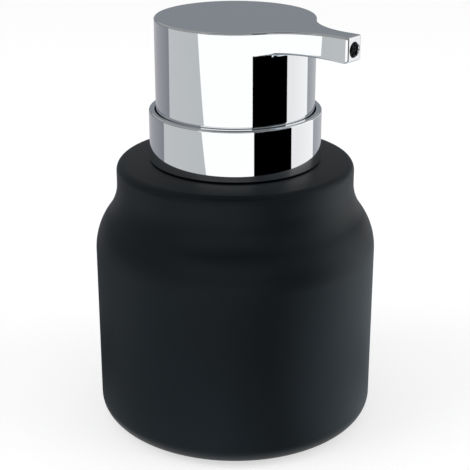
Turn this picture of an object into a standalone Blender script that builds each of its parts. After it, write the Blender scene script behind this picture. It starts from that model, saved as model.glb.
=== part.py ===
"""Liquid soap dispenser: a round ceramic bottle with a chrome press pump.

Metres, +Z up. The base pad rests on z = 0, the upright axis of the bottle and of the
pump is the Z axis, and the spout points along +X.
"""

import math

import bmesh
import bpy
import numpy as np

# Clearances shared by all pieces
SEAT_GAP = 0.0003
SLIDE_GAP = 0.0003
CUT_OVERRUN = 0.002

# Facets round a turned piece, by its size
WIDE_FACETS = 60
MIDDLE_FACETS = 32
SMALL_FACETS = 20

# Steps along an arc of a profile, by its size
LONG_ARC_STEPS = 6
SHORT_ARC_STEPS = 3
CORNER_ARC_STEPS = 2

# Base pad
PAD_MARGIN = 0.0085
PAD_THICKNESS = 0.0014
PAD_PROUD = 0.0005

# Ceramic bottle
BOTTLE_RADIUS = 0.045
BOTTLE_HEIGHT = 0.0867
BOTTLE_WALL = 0.004
BASE_THICKNESS = 0.0055
TOP_THICKNESS = 0.0057
FOOT_ROUND = 0.006
SHOULDER_ROUND = 0.0199
NECK_HOLLOW = 0.0169
NECK_SETBACK = 0.0073
NECK_HEIGHT = 0.0075
RIM_ROUND = 0.0028
RIM_ROUND_START = 65
DOME_RISE = 0.0006
SEAT_LAND = 0.0004
INNER_ROUND = 0.0015
MOUTH_RADIUS = 0.0155

# Moulded bush in the mouth
BUSH_FLANGE_RADIUS = 0.0187
BUSH_FLANGE_THICKNESS = 0.0012
BUSH_BORE = 0.0103
BUSH_WALL = 0.0022
BUSH_DEPTH = 0.008
BARB_DEPTH = 0.0007
BARB_COUNT = 3
BARB_SLOPE_SHARE = 0.7
THREAD_RADIUS = 0.0136
UPSTAND_HEIGHT = 0.0088
EDGE_BREAK = 0.0003

# Soft rings
BUSH_SEAL_THICKNESS = 0.0008
GASKET_THICKNESS = 0.0008
STEM_SEAL_THICKNESS = 0.0012
STEM_SEAL_WIDTH = 0.0021
STEM_SEAL_GAP = 0.0002

# Pump housing
HOUSING_RADIUS = 0.0095
HOUSING_WALL = 0.0012
HOUSING_FLANGE_THICKNESS = 0.0012
CHAMBER_DEPTH = 0.0426
VENT_RADIUS = 0.0008
VENT_DROP = 0.0062
CHAMBER_FLOOR = 0.001
SOCKET_DEPTH = 0.0085
SOCKET_WALL = 0.0013
THROAT_RADIUS = 0.0014
THROAT_LENGTH = 0.0012

# Inlet valve
BALL_RADIUS = 0.0023
BALL_TRAVEL = 0.0015
BALL_ROOM = 0.0009
BALL_SEGMENTS = 16
BALL_RINGS = 10
CAGE_THICKNESS = 0.0012
CAGE_OPENING = 0.0032
CAGE_BAR = 0.001

# Dip tube
TUBE_RADIUS = 0.0032
TUBE_WALL = 0.0009
TUBE_FLOOR_GAP = 0.002
TUBE_SLANT = math.radians(30)

# Threaded cap that carries the collar
THREAD_GAP = 0.0005
CAP_WALL = 0.0022
CAP_TOP_THICKNESS = 0.0014
CAP_DISC_THICKNESS = 0.001
CAP_RIB_COUNT = 8
CAP_RIB_THICKNESS = 0.0012
CAP_RIB_HEIGHT = 0.006
CAP_RIB_MARGIN = 0.0018
CAP_RIB_TURN_SHARE = 0.3

# Chrome collar
COLLAR_HEAD_GAP = 0.00035
COLLAR_WALL = 0.0018
COLLAR_HEIGHT = 0.016
COLLAR_ROUND = 0.0006
COLLAR_LIP_WIDTH = 0.0008
COLLAR_LIP_HEIGHT = 0.0008

# Stem guide
GUIDE_RADIUS = 0.0109
GUIDE_HEIGHT = 0.0033
GUIDE_SKIRT_DEPTH = 0.0028
GUIDE_SKIRT_WALL = 0.0014
GUIDE_POCKET_DEPTH = 0.0018

# Stem, valve pin and piston
STEM_RADIUS = 0.0034
STEM_BORE = 0.0017
STEM_SHOULDER = 0.0012
STEM_SHOULDER_HEIGHT = 0.0015
STEM_REACH = 0.0212
PIN_HEAD_RADIUS = 0.0046
PIN_HEAD_THICKNESS = 0.0016
PIN_SHANK_LENGTH = 0.012
PIN_PORT = 0.0018
PISTON_LAG = 0.0012
PISTON_HEIGHT = 0.007
PISTON_HUB_WALL = 0.0012
PISTON_WEB = 0.0014
PISTON_LIP_WALL = 0.0009
PISTON_LIP_REACH = 0.001
PISTON_LIP_GAP = 0.00015
PISTON_LIP_FLARE = 0.0005

# Return spring
WIRE_RADIUS = 0.00045
COIL_RADIUS = 0.0039
COIL_TURNS = 8
COIL_POINTS = 10
END_PITCH = 0.0015

# Stroke of the head
STROKE = 0.012

# Chrome head and spout
HEAD_RADIUS = 0.02485
HEAD_RISE = 0.0285
HEAD_WALL = 0.0018
HEAD_CEILING = 0.0012
HEAD_EDGE_ROUND = 0.0005
SPOUT_REACH = 0.0443
SPOUT_HALF_WIDTH = 0.0035
SPOUT_ROOT_DEPTH = 0.0068
SPOUT_TIP_DEPTH = 0.0075
SPOUT_STRAIGHT = 0.0045
SPOUT_CORNER = 0.0008
SPOUT_LOWER_ROUND = 0.0003
SPOUT_ROOT_FILLET = 0.0008
SPOUT_AXIS_DROP = 0.0039
SPOUT_BORE = 0.0025
SPOUT_BORE_FLARE = 0.0003
SPOUT_BLEND_STEPS = 7
SPOUT_CORNER_STEPS = 2

# Core of the head
CORE_GAP = 0.0003
CORE_POST_RADIUS = 0.006
CORE_PLATE_DROP = 0.0054
CORE_PLATE_THICKNESS = 0.0012
CORE_RING_WALL = 0.0012
CORE_RING_HEIGHT = 0.0085
CORE_RIB_COUNT = 6
CORE_RIB_THICKNESS = 0.0012
CORE_RIB_HEIGHT = 0.005
CORE_RIB_TURN_SHARE = 0.5
CORE_BOSS_REACH = 0.014
CORE_BOSS_WIDTH = 0.0064
CORE_CHANNEL = 0.0014

# Tube inside the spout
NOZZLE_RADIUS = 0.0021
NOZZLE_BORE = 0.0014
NOZZLE_CHANNEL = 0.0009
NOZZLE_SPIGOT_RADIUS = 0.0015
NOZZLE_SPIGOT_LENGTH = 0.006
NOZZLE_MOUTH_LENGTH = 0.01
NOZZLE_SET_BACK = 0.0015

# Heights of the stack, from the table upwards
foot_z = PAD_PROUD
inner_floor_z = foot_z + BASE_THICKNESS
seat_z = foot_z + BOTTLE_HEIGHT
neck_foot_z = seat_z - NECK_HEIGHT
flange_z = seat_z - BUSH_FLANGE_THICKNESS
bush_seal_z = flange_z - SEAT_GAP - BUSH_SEAL_THICKNESS
counterbore_z = bush_seal_z - SEAT_GAP
upstand_z = seat_z + UPSTAND_HEIGHT
gasket_z = upstand_z + SEAT_GAP
housing_flange_z = gasket_z + GASKET_THICKNESS + SEAT_GAP
housing_top_z = housing_flange_z + HOUSING_FLANGE_THICKNESS
shelf_z = housing_top_z - CHAMBER_DEPTH
cage_z = shelf_z + SEAT_GAP
cage_top_z = cage_z + CAGE_THICKNESS
ball_z = cage_z - SEAT_GAP - BALL_TRAVEL - BALL_RADIUS
cap_top_z = housing_top_z + SEAT_GAP + CAP_TOP_THICKNESS
collar_z = seat_z + SEAT_GAP
collar_top_z = collar_z + COLLAR_HEIGHT
disc_z = collar_z + COLLAR_LIP_HEIGHT + SEAT_GAP
disc_top_z = disc_z + CAP_DISC_THICKNESS
guide_z = housing_top_z + SEAT_GAP
guide_top_z = guide_z + GUIDE_HEIGHT
guide_foot_z = guide_z - GUIDE_SKIRT_DEPTH
shoulder_top_z = guide_foot_z - SEAT_GAP
shoulder_z = shoulder_top_z - STEM_SHOULDER_HEIGHT
piston_top_z = shoulder_z - SEAT_GAP - PISTON_LAG
piston_z = piston_top_z - PISTON_HEIGHT
pin_top_z = piston_z - SEAT_GAP
pin_z = pin_top_z - PIN_HEAD_THICKNESS
stem_z = pin_top_z + PIN_PORT
skirt_z = disc_top_z + SLIDE_GAP + STROKE
head_top_z = collar_top_z + HEAD_RISE
ceiling_z = head_top_z - HEAD_CEILING
spout_axis_z = head_top_z - SPOUT_AXIS_DROP
post_z = guide_top_z + STROKE + SLIDE_GAP
stem_top_z = guide_top_z + STEM_REACH
core_top_z = ceiling_z - CORE_GAP
plate_top_z = ceiling_z - CORE_PLATE_DROP
stem_socket_z = stem_top_z + SEAT_GAP

# Radii that follow from their neighbours
neck_radius = BOTTLE_RADIUS - NECK_SETBACK
pad_radius = BOTTLE_RADIUS - PAD_MARGIN
pad_recess_radius = pad_radius + SEAT_GAP
flange_recess_radius = BUSH_FLANGE_RADIUS + SEAT_GAP
barb_radius = MOUTH_RADIUS - SEAT_GAP
housing_bore = HOUSING_RADIUS - HOUSING_WALL
housing_flange_radius = THREAD_RADIUS - EDGE_BREAK
cap_bore = THREAD_RADIUS + THREAD_GAP
cap_radius = cap_bore + CAP_WALL
cap_hole = GUIDE_RADIUS + SEAT_GAP
collar_bore = HEAD_RADIUS + COLLAR_HEAD_GAP
collar_radius = collar_bore + COLLAR_WALL
tube_socket = TUBE_RADIUS + SEAT_GAP
head_bore = HEAD_RADIUS - HEAD_WALL
stem_hole = STEM_RADIUS + SLIDE_GAP
core_radius = head_bore - CORE_GAP
room_radius = BALL_RADIUS + BALL_ROOM

# Inlet valve seat: a cone at 45 degrees, so a ball that lies a seat gap off the cone has
# its centre higher than the cone's tip by the square root of two times that distance
room_z = ball_z + room_radius - (BALL_RADIUS + SEAT_GAP) * math.sqrt(2.0)
throat_z = room_z - (room_radius - THROAT_RADIUS)
tube_socket_z = throat_z - THROAT_LENGTH

# Materials: name, linear colour, roughness and metallic value of each
CERAMIC = ("matt_glazed_ceramic", (0.012, 0.013, 0.015), 0.42, 0.0)
CHROME = ("chrome_plate", (0.78, 0.79, 0.81), 0.05, 1.0)
BLACK_PLASTIC = ("black_polypropylene", (0.02, 0.02, 0.021), 0.4, 0.0)
WHITE_PLASTIC = ("white_polypropylene", (0.78, 0.78, 0.76), 0.4, 0.0)
CLEAR_PLASTIC = ("natural_polyethylene", (0.72, 0.74, 0.73), 0.35, 0.0)
RUBBER = ("grey_elastomer", (0.12, 0.12, 0.12), 0.7, 0.0)
FOAM = ("black_eva_foam", (0.025, 0.025, 0.025), 0.85, 0.0)
STEEL = ("stainless_steel", (0.6, 0.6, 0.6), 0.25, 1.0)

SHARP_ANGLE = math.radians(32)
MERGE_DISTANCE = 1e-6


def clear_scene():
    """Empties the scene of the objects it starts with."""
    for obj in list(bpy.data.objects):
        bpy.data.objects.remove(obj, do_unlink=True)


def new_collection(name):
    made = bpy.data.collections.new(name)
    bpy.context.scene.collection.children.link(made)
    return made


def material(kind):
    """One Principled material for each kind of finish."""
    name, colour, roughness, metallic = kind
    made = bpy.data.materials.get(name)
    if made is None:
        made = bpy.data.materials.new(name)
        made.use_nodes = True
        shader = made.node_tree.nodes["Principled BSDF"]
        shader.inputs["Base Color"].default_value = (*colour, 1.0)
        shader.inputs["Roughness"].default_value = roughness
        shader.inputs["Metallic"].default_value = metallic
        made.diffuse_color = (*colour, 1.0)
    return made


def place(name, data, kind, collection):
    """An object for the data, with its material, in its collection."""
    obj = bpy.data.objects.new(name, data)
    collection.objects.link(obj)
    if kind is not None:
        data.materials.append(material(kind))
    return obj


def hide_cutter(obj):
    obj.hide_render = True
    obj.display_type = "WIRE"
    return obj


def settle(obj):
    """Applies the modifiers and shades the round faces smooth."""
    graph = bpy.context.evaluated_depsgraph_get()
    mesh = bpy.data.meshes.new_from_object(obj.evaluated_get(graph))
    obj.modifiers.clear()
    obj.data = mesh
    mesh.shade_smooth()
    mesh.set_sharp_from_angle(angle=SHARP_ANGLE)
    return obj


def arc(centre_r, centre_z, radius, start, end, steps):
    """Points of an arc in the (r, z) plane, from one angle in degrees to another."""
    angles = np.radians(np.linspace(start, end, steps + 1))
    return [(centre_r + radius * math.cos(a), centre_z + radius * math.sin(a)) for a in angles]


def ring_profile(outer, inner, top, bottom):
    """Square section of a flat ring, down its outer side."""
    return [(outer, top), (outer, bottom), (inner, bottom), (inner, top)]


def turned(name, profile, facets, kind, collection, closed=True):
    """A profile of (r, z) points turned about the Z axis.

    The profile runs down its outer side. A closed one makes a ring, and an open one
    starts and ends on the axis.
    """
    mesh = bpy.data.meshes.new(name)
    count = len(profile)
    edges = [(i, i + 1) for i in range(count - 1)]
    if closed:
        edges.append((count - 1, 0))
    mesh.from_pydata([(r, 0.0, z) for r, z in profile], edges, [])
    obj = place(name, mesh, kind, collection)
    screw = obj.modifiers.new("turn", "SCREW")
    screw.axis = "Z"
    screw.angle = 2.0 * math.pi
    screw.steps = facets
    screw.render_steps = facets
    screw.use_merge_vertices = True
    screw.merge_threshold = MERGE_DISTANCE
    screw.use_normal_calculate = False
    return settle(obj)


def block(name, size, centre, collection, turn=0.0):
    """A box cutter or rib, turned about the Z axis of the part."""
    mesh = bpy.data.meshes.new(name)
    shape = bmesh.new()
    bmesh.ops.create_cube(shape, size=1.0)
    bmesh.ops.scale(shape, vec=size, verts=shape.verts)
    bmesh.ops.translate(shape, vec=centre, verts=shape.verts)
    shape.to_mesh(mesh)
    shape.free()
    obj = place(name, mesh, None, collection)
    obj.rotation_euler[2] = turn
    return hide_cutter(obj)


def combine(obj, other, operation):
    """Adds a Boolean that unites the object with the other, or cuts it."""
    boolean = obj.modifiers.new(other.name, "BOOLEAN")
    boolean.operation = operation
    boolean.solver = "EXACT"
    boolean.object = other
    return settle(obj)


def lay_along_x(obj, height):
    """Lays a turned piece down at a height, so that its own +Z points along the spout."""
    obj.rotation_euler[1] = math.radians(90)
    obj.location[2] = height
    return obj


def loft(name, rings, kind, collection):
    """A closed solid through rings of equal point counts, with a flat face on each end."""
    mesh = bpy.data.meshes.new(name)
    shape = bmesh.new()
    rows = [[shape.verts.new(point) for point in ring] for ring in rings]
    count = len(rings[0])
    for upper, lower in zip(rows[:-1], rows[1:]):
        for i in range(count):
            j = (i + 1) % count
            shape.faces.new((upper[i], lower[i], lower[j], upper[j]))
    shape.faces.new(rows[0])
    shape.faces.new(rows[-1])
    bmesh.ops.remove_doubles(shape, verts=shape.verts, dist=MERGE_DISTANCE)
    bmesh.ops.dissolve_degenerate(shape, edges=shape.edges, dist=MERGE_DISTANCE)
    bmesh.ops.recalc_face_normals(shape, faces=shape.faces)
    shape.to_mesh(mesh)
    shape.free()
    return place(name, mesh, kind, collection)


def base_pad(part):
    profile = [
        (0.0, foot_z + PAD_THICKNESS - PAD_PROUD),
        (pad_radius, foot_z + PAD_THICKNESS - PAD_PROUD),
        (pad_radius, EDGE_BREAK),
        (pad_radius - EDGE_BREAK, 0.0),
        (0.0, 0.0),
    ]
    return turned("base_pad", profile, WIDE_FACETS, FOAM, part, closed=False)


def shoulder_arcs():
    """Centre and turning angle of the two arcs that join neck and side, tangent to both.

    The hollow arc starts at the foot of the neck and the round one ends on the side.
    Their centres lie the sum of both radii apart.
    """
    across = BOTTLE_RADIUS - SHOULDER_ROUND - neck_radius - NECK_HOLLOW
    apart = NECK_HOLLOW + SHOULDER_ROUND
    drop = math.sqrt(apart * apart - across * across)
    sweep = math.degrees(math.atan2(drop, -across))
    return neck_foot_z - drop, sweep


def bottle(part):
    """Hollow vessel: the inner wall keeps to the same arc centres as the outer one."""
    shoulder_z, sweep = shoulder_arcs()
    round_r = BOTTLE_RADIUS - SHOULDER_ROUND
    hollow_r = neck_radius + NECK_HOLLOW
    inner_side = BOTTLE_RADIUS - BOTTLE_WALL
    inner_neck = neck_radius - BOTTLE_WALL
    inner_foot = FOOT_ROUND - EDGE_BREAK
    inner_top_z = seat_z - TOP_THICKNESS
    land = collar_radius + SEAT_LAND
    dome_run = neck_radius - RIM_ROUND - land
    dome_radius = (dome_run ** 2 + DOME_RISE ** 2) / (2.0 * DOME_RISE)
    dome_sweep = math.degrees(math.asin(dome_run / dome_radius))
    rim_z = seat_z - DOME_RISE
    profile = [(0.0, inner_floor_z)]
    profile += arc(
        inner_side - inner_foot, inner_floor_z + inner_foot, inner_foot, -90, 0, CORNER_ARC_STEPS
    )
    profile += arc(round_r, shoulder_z, SHOULDER_ROUND - BOTTLE_WALL, 0, sweep, SHORT_ARC_STEPS)
    profile += arc(
        hollow_r, neck_foot_z, NECK_HOLLOW + BOTTLE_WALL, 180 + sweep, 180, SHORT_ARC_STEPS
    )[1:]
    profile += [(inner_neck, inner_top_z - INNER_ROUND), (inner_neck - INNER_ROUND, inner_top_z)]
    profile += [(MOUTH_RADIUS, inner_top_z), (MOUTH_RADIUS, counterbore_z)]
    profile += [(flange_recess_radius, counterbore_z), (flange_recess_radius, seat_z)]
    profile += arc(land, seat_z - dome_radius, dome_radius, 90, 90 - dome_sweep, SHORT_ARC_STEPS)
    profile += arc(
        neck_radius - RIM_ROUND, rim_z - RIM_ROUND, RIM_ROUND, RIM_ROUND_START, 0, SHORT_ARC_STEPS
    )
    profile += arc(hollow_r, neck_foot_z, NECK_HOLLOW, 180, 180 + sweep, LONG_ARC_STEPS)
    profile += arc(round_r, shoulder_z, SHOULDER_ROUND, sweep, 0, LONG_ARC_STEPS)[1:]
    profile += arc(
        BOTTLE_RADIUS - FOOT_ROUND, foot_z + FOOT_ROUND, FOOT_ROUND, 0, -90, LONG_ARC_STEPS
    )
    recess_z = foot_z + PAD_THICKNESS - PAD_PROUD + SEAT_GAP
    profile += [(pad_recess_radius, foot_z), (pad_recess_radius, recess_z), (0.0, recess_z)]
    return turned("bottle", profile, WIDE_FACETS, CERAMIC, part, closed=False)


def neck_insert(part):
    """Bush with a barbed sleeve in the mouth, a flange, and the upstand for the thread."""
    sleeve_radius = barb_radius - BARB_DEPTH
    sleeve_bore = sleeve_radius - BUSH_WALL + BARB_DEPTH
    sleeve_z = flange_z - BUSH_DEPTH
    barb_pitch = (BUSH_DEPTH - BUSH_FLANGE_THICKNESS) / (BARB_COUNT + 1)
    profile = [
        (THREAD_RADIUS - EDGE_BREAK, upstand_z),
        (THREAD_RADIUS, upstand_z - EDGE_BREAK),
        (THREAD_RADIUS, seat_z),
        (BUSH_FLANGE_RADIUS, seat_z),
        (BUSH_FLANGE_RADIUS, flange_z),
        (sleeve_radius, flange_z),
    ]
    for number in range(BARB_COUNT):
        barb_z = flange_z - (number + 1) * barb_pitch
        profile += [(sleeve_radius, barb_z), (barb_radius, barb_z)]
        profile += [(sleeve_radius, barb_z - barb_pitch * BARB_SLOPE_SHARE)]
    profile += [
        (sleeve_radius, sleeve_z),
        (sleeve_bore, sleeve_z),
        (sleeve_bore, flange_z),
        (BUSH_BORE, seat_z),
        (BUSH_BORE, upstand_z),
    ]
    return turned("neck_insert", profile, MIDDLE_FACETS, BLACK_PLASTIC, part)


def soft_rings(part):
    """The seal under the bush, the gasket under the housing and the wiper on the stem."""
    seal = ring_profile(
        BUSH_FLANGE_RADIUS - SEAT_GAP,
        MOUTH_RADIUS + SEAT_GAP,
        bush_seal_z + BUSH_SEAL_THICKNESS,
        bush_seal_z,
    )
    gasket = ring_profile(
        housing_flange_radius,
        HOUSING_RADIUS + SEAT_GAP,
        gasket_z + GASKET_THICKNESS,
        gasket_z,
    )
    wiper_z = guide_foot_z + GUIDE_POCKET_DEPTH - SEAT_GAP - STEM_SEAL_THICKNESS
    wiper_bore = STEM_RADIUS + STEM_SEAL_GAP
    wiper_radius = wiper_bore + STEM_SEAL_WIDTH
    wiper_top_z = wiper_z + STEM_SEAL_THICKNESS
    wiper = [
        (wiper_radius, wiper_top_z),
        (wiper_radius, wiper_z),
        (wiper_bore + STEM_SEAL_GAP, wiper_z),
        (wiper_bore, wiper_z + STEM_SEAL_GAP),
        (wiper_bore, wiper_top_z - STEM_SEAL_GAP),
        (wiper_bore + STEM_SEAL_GAP, wiper_top_z),
    ]
    turned("insert_seal", seal, MIDDLE_FACETS, RUBBER, part)
    turned("housing_gasket", gasket, MIDDLE_FACETS, RUBBER, part)
    turned("stem_seal", wiper, SMALL_FACETS, RUBBER, part)


def pump_housing(part, cutters):
    """Cylinder with its flange, the shelf, the ball's room and seat, and the tube socket."""
    socket_foot = tube_socket_z - SOCKET_DEPTH
    socket_radius = tube_socket + SOCKET_WALL
    shelf_foot = shelf_z - CHAMBER_FLOOR
    room_outer = room_radius + SOCKET_WALL
    profile = [
        (housing_flange_radius, housing_top_z),
        (housing_flange_radius, housing_flange_z),
        (HOUSING_RADIUS, housing_flange_z),
        (HOUSING_RADIUS, shelf_foot),
        (room_outer, shelf_foot - (HOUSING_RADIUS - room_outer)),
        (socket_radius, throat_z),
        (socket_radius, socket_foot + EDGE_BREAK),
        (socket_radius - EDGE_BREAK, socket_foot),
        (tube_socket, socket_foot),
        (tube_socket, tube_socket_z),
        (THROAT_RADIUS, tube_socket_z),
        (THROAT_RADIUS, throat_z),
        (room_radius, room_z),
        (room_radius, shelf_z),
        (housing_bore, shelf_z),
        (housing_bore, housing_top_z),
    ]
    housing = turned("pump_housing", profile, MIDDLE_FACETS, WHITE_PLASTIC, part)
    vent_profile = [
        (0.0, HOUSING_RADIUS + CUT_OVERRUN),
        (VENT_RADIUS, HOUSING_RADIUS + CUT_OVERRUN),
        (VENT_RADIUS, housing_bore - CUT_OVERRUN),
        (0.0, housing_bore - CUT_OVERRUN),
    ]
    vent = turned("vent_cutter", vent_profile, SMALL_FACETS, None, cutters, closed=False)
    lay_along_x(hide_cutter(vent), housing_flange_z - VENT_DROP)
    return combine(housing, vent, "DIFFERENCE")


def inlet_valve(part, cutters):
    """Ball, and the ring with crossed bars that holds it in its room."""
    mesh = bpy.data.meshes.new("inlet_ball")
    shape = bmesh.new()
    bmesh.ops.create_uvsphere(
        shape, u_segments=BALL_SEGMENTS, v_segments=BALL_RINGS, radius=BALL_RADIUS
    )
    bmesh.ops.translate(shape, vec=(0.0, 0.0, ball_z), verts=shape.verts)
    shape.to_mesh(mesh)
    shape.free()
    settle(place("inlet_ball", mesh, STEEL, part))
    ring = ring_profile(housing_bore - SLIDE_GAP, CAGE_OPENING, cage_top_z, cage_z)
    cage = turned("ball_cage", ring, SMALL_FACETS, WHITE_PLASTIC, part)
    bar_length = 2.0 * CAGE_OPENING + CAGE_THICKNESS
    for number in range(2):
        bar = block(
            "cage_bar_%d" % number,
            (bar_length, CAGE_BAR, CAGE_THICKNESS - 2.0 * EDGE_BREAK),
            (0.0, 0.0, cage_z + CAGE_THICKNESS / 2.0),
            cutters,
            turn=number * math.radians(90),
        )
        combine(cage, bar, "UNION")
    return cage


def dip_tube(part, cutters):
    """Suction tube from the socket down to just over the floor, with a slanted end."""
    top_z = tube_socket_z - SEAT_GAP
    foot = inner_floor_z + TUBE_FLOOR_GAP
    profile = ring_profile(TUBE_RADIUS, TUBE_RADIUS - TUBE_WALL, top_z, foot)
    tube = turned("dip_tube", profile, SMALL_FACETS, CLEAR_PLASTIC, part)
    span = 2.0 * (TUBE_RADIUS + CUT_OVERRUN)
    slant = block("slant_cutter", (span, span, span), (0.0, 0.0, -span / 2.0), cutters)
    slant.rotation_euler[1] = TUBE_SLANT
    slant.location[2] = foot + TUBE_RADIUS * math.tan(TUBE_SLANT)
    return combine(tube, slant, "DIFFERENCE")


def closure_cap(part, cutters):
    """Threaded cap over the upstand, with the ribbed disc that the collar sits on."""
    profile = [
        (cap_radius, cap_top_z),
        (cap_radius, disc_top_z),
        (collar_bore - SEAT_GAP, disc_top_z),
        (collar_bore - SEAT_GAP, disc_z),
        (cap_radius, disc_z),
        (cap_radius, collar_z + EDGE_BREAK),
        (cap_radius - EDGE_BREAK, collar_z),
        (cap_bore, collar_z),
        (cap_bore, cap_top_z - CAP_TOP_THICKNESS),
        (cap_hole, cap_top_z - CAP_TOP_THICKNESS),
        (cap_hole, cap_top_z),
    ]
    cap = turned("closure_cap", profile, MIDDLE_FACETS, BLACK_PLASTIC, part)
    rib_start = cap_radius - CAP_WALL / 2.0
    rib_end = head_bore - CAP_RIB_MARGIN
    rib_foot = disc_z + CAP_DISC_THICKNESS / 2.0
    rib_top = disc_top_z + CAP_RIB_HEIGHT
    size = (rib_end - rib_start, CAP_RIB_THICKNESS, rib_top - rib_foot)
    centre = ((rib_start + rib_end) / 2.0, 0.0, (rib_foot + rib_top) / 2.0)
    for number in range(CAP_RIB_COUNT):
        turn = 2.0 * math.pi * (number + CAP_RIB_TURN_SHARE) / CAP_RIB_COUNT
        rib = block("cap_rib_%d" % number, size, centre, cutters, turn=turn)
        combine(cap, rib, "UNION")
    return cap


def collar(part):
    """Chrome ring with a rounded upper edge and a small lip inside its foot."""
    lip_bore = collar_bore - COLLAR_LIP_WIDTH
    profile = arc(
        collar_radius - COLLAR_ROUND,
        collar_top_z - COLLAR_ROUND,
        COLLAR_ROUND,
        90,
        0,
        SHORT_ARC_STEPS,
    )
    profile += [
        (collar_radius, collar_z + EDGE_BREAK),
        (collar_radius - EDGE_BREAK, collar_z),
        (lip_bore, collar_z),
        (lip_bore, collar_z + COLLAR_LIP_HEIGHT),
        (collar_bore, collar_z + COLLAR_LIP_HEIGHT),
        (collar_bore, collar_top_z - EDGE_BREAK),
        (collar_bore + EDGE_BREAK, collar_top_z),
    ]
    return turned("collar", profile, WIDE_FACETS, CHROME, part)


def stem_guide(part):
    """Cap on the housing with a skirt in its bore and a pocket for the wiper."""
    skirt_radius = housing_bore - SLIDE_GAP
    pocket_radius = skirt_radius - GUIDE_SKIRT_WALL
    pocket_top = guide_foot_z + GUIDE_POCKET_DEPTH
    profile = [
        (GUIDE_RADIUS - EDGE_BREAK, guide_top_z),
        (GUIDE_RADIUS, guide_top_z - EDGE_BREAK),
        (GUIDE_RADIUS, guide_z),
        (skirt_radius, guide_z),
        (skirt_radius, guide_foot_z),
        (pocket_radius, guide_foot_z),
        (pocket_radius, pocket_top),
        (stem_hole, pocket_top),
        (stem_hole, guide_top_z),
    ]
    return turned("stem_guide", profile, MIDDLE_FACETS, WHITE_PLASTIC, part)


def stem(part):
    """Hollow rod with the shoulder that stops it under the guide."""
    shoulder_radius = STEM_RADIUS + STEM_SHOULDER
    profile = [
        (STEM_RADIUS - EDGE_BREAK, stem_top_z),
        (STEM_RADIUS, stem_top_z - EDGE_BREAK),
        (STEM_RADIUS, shoulder_top_z),
        (shoulder_radius, shoulder_top_z),
        (shoulder_radius, shoulder_z),
        (STEM_RADIUS, shoulder_z),
        (STEM_RADIUS, stem_z),
        (STEM_BORE, stem_z),
        (STEM_BORE, stem_top_z),
    ]
    return turned("stem", profile, SMALL_FACETS, WHITE_PLASTIC, part)


def valve_pin(part):
    """Mushroom under the piston, with its shank up in the stem's bore."""
    shank_radius = STEM_BORE - SLIDE_GAP
    shank_top = stem_z + PIN_SHANK_LENGTH
    profile = [
        (0.0, shank_top),
        (shank_radius - EDGE_BREAK, shank_top),
        (shank_radius, shank_top - EDGE_BREAK),
        (shank_radius, pin_top_z),
        (PIN_HEAD_RADIUS, pin_top_z),
        (PIN_HEAD_RADIUS, pin_z),
        (0.0, pin_z),
    ]
    return turned("valve_pin", profile, SMALL_FACETS, WHITE_PLASTIC, part, closed=False)


def piston(part):
    """Sleeve on the stem, a web, and two lips that flare towards the housing's wall."""
    hub_radius = stem_hole + PISTON_HUB_WALL
    lip_radius = housing_bore - PISTON_LIP_GAP - SLIDE_GAP
    lip_core = lip_radius - PISTON_LIP_FLARE
    lip_bore = lip_core - PISTON_LIP_WALL
    lip_top = piston_top_z + PISTON_LIP_REACH
    lip_foot = piston_z - PISTON_LIP_REACH
    middle = (piston_top_z + piston_z) / 2.0
    web_top = middle + PISTON_WEB / 2.0
    web_foot = middle - PISTON_WEB / 2.0
    profile = [
        (lip_radius, lip_top),
        (lip_core, web_top),
        (lip_core, web_foot),
        (lip_radius, lip_foot),
        (lip_radius - PISTON_LIP_FLARE, lip_foot),
        (lip_bore, web_foot),
        (hub_radius, web_foot),
        (hub_radius, piston_z),
        (stem_hole, piston_z),
        (stem_hole, piston_top_z),
        (hub_radius, piston_top_z),
        (hub_radius, web_top),
        (lip_bore, web_top),
        (lip_radius - PISTON_LIP_FLARE, lip_top),
    ]
    return turned("piston", profile, SMALL_FACETS, CLEAR_PLASTIC, part)


def least_gap(points, radius, skip):
    """Smallest gap of a wire to itself, past the neighbours along it."""
    apart = np.linalg.norm(points[:, None] - points[None], axis=2)
    index = np.arange(len(points))
    near = np.abs(index[:, None] - index[None]) < skip
    apart[near] = np.inf
    return float(apart.min()) - 2.0 * radius


def return_spring(part):
    """Helix between the cage and the pin, with one closer turn at each end.

    Along the wire the angle grows evenly, and the height follows the pitch of each turn.
    """
    low = cage_top_z + SEAT_GAP + WIRE_RADIUS
    high = pin_z - SEAT_GAP - WIRE_RADIUS
    turns = np.linspace(0.0, COIL_TURNS, COIL_TURNS * COIL_POINTS + 1)
    stations = [0.0, 1.0, COIL_TURNS - 1.0, COIL_TURNS]
    heights = [low, low + END_PITCH, high - END_PITCH, high]
    z = np.interp(turns, stations, heights)
    angle = 2.0 * math.pi * turns
    points = np.stack([COIL_RADIUS * np.cos(angle), COIL_RADIUS * np.sin(angle), z], axis=1)
    straight = 2.0 * WIRE_RADIUS
    before = points[0] + np.array([0.0, -straight, 0.0])
    after = points[-1] + np.array([0.0, straight, 0.0])
    points = np.concatenate([[before], points, [after]])
    gap = least_gap(points, WIRE_RADIUS, COIL_POINTS // 2)
    print("return_spring: least gap to itself in metres", round(gap, 6))
    curve = bpy.data.curves.new("return_spring", "CURVE")
    curve.dimensions = "3D"
    curve.bevel_depth = WIRE_RADIUS
    curve.bevel_resolution = 1
    curve.use_fill_caps = True
    spline = curve.splines.new("POLY")
    spline.points.add(len(points) - 1)
    for target, point in zip(spline.points, points):
        target.co = (*point, 1.0)
    return place("return_spring", curve, STEEL, part)


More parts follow.
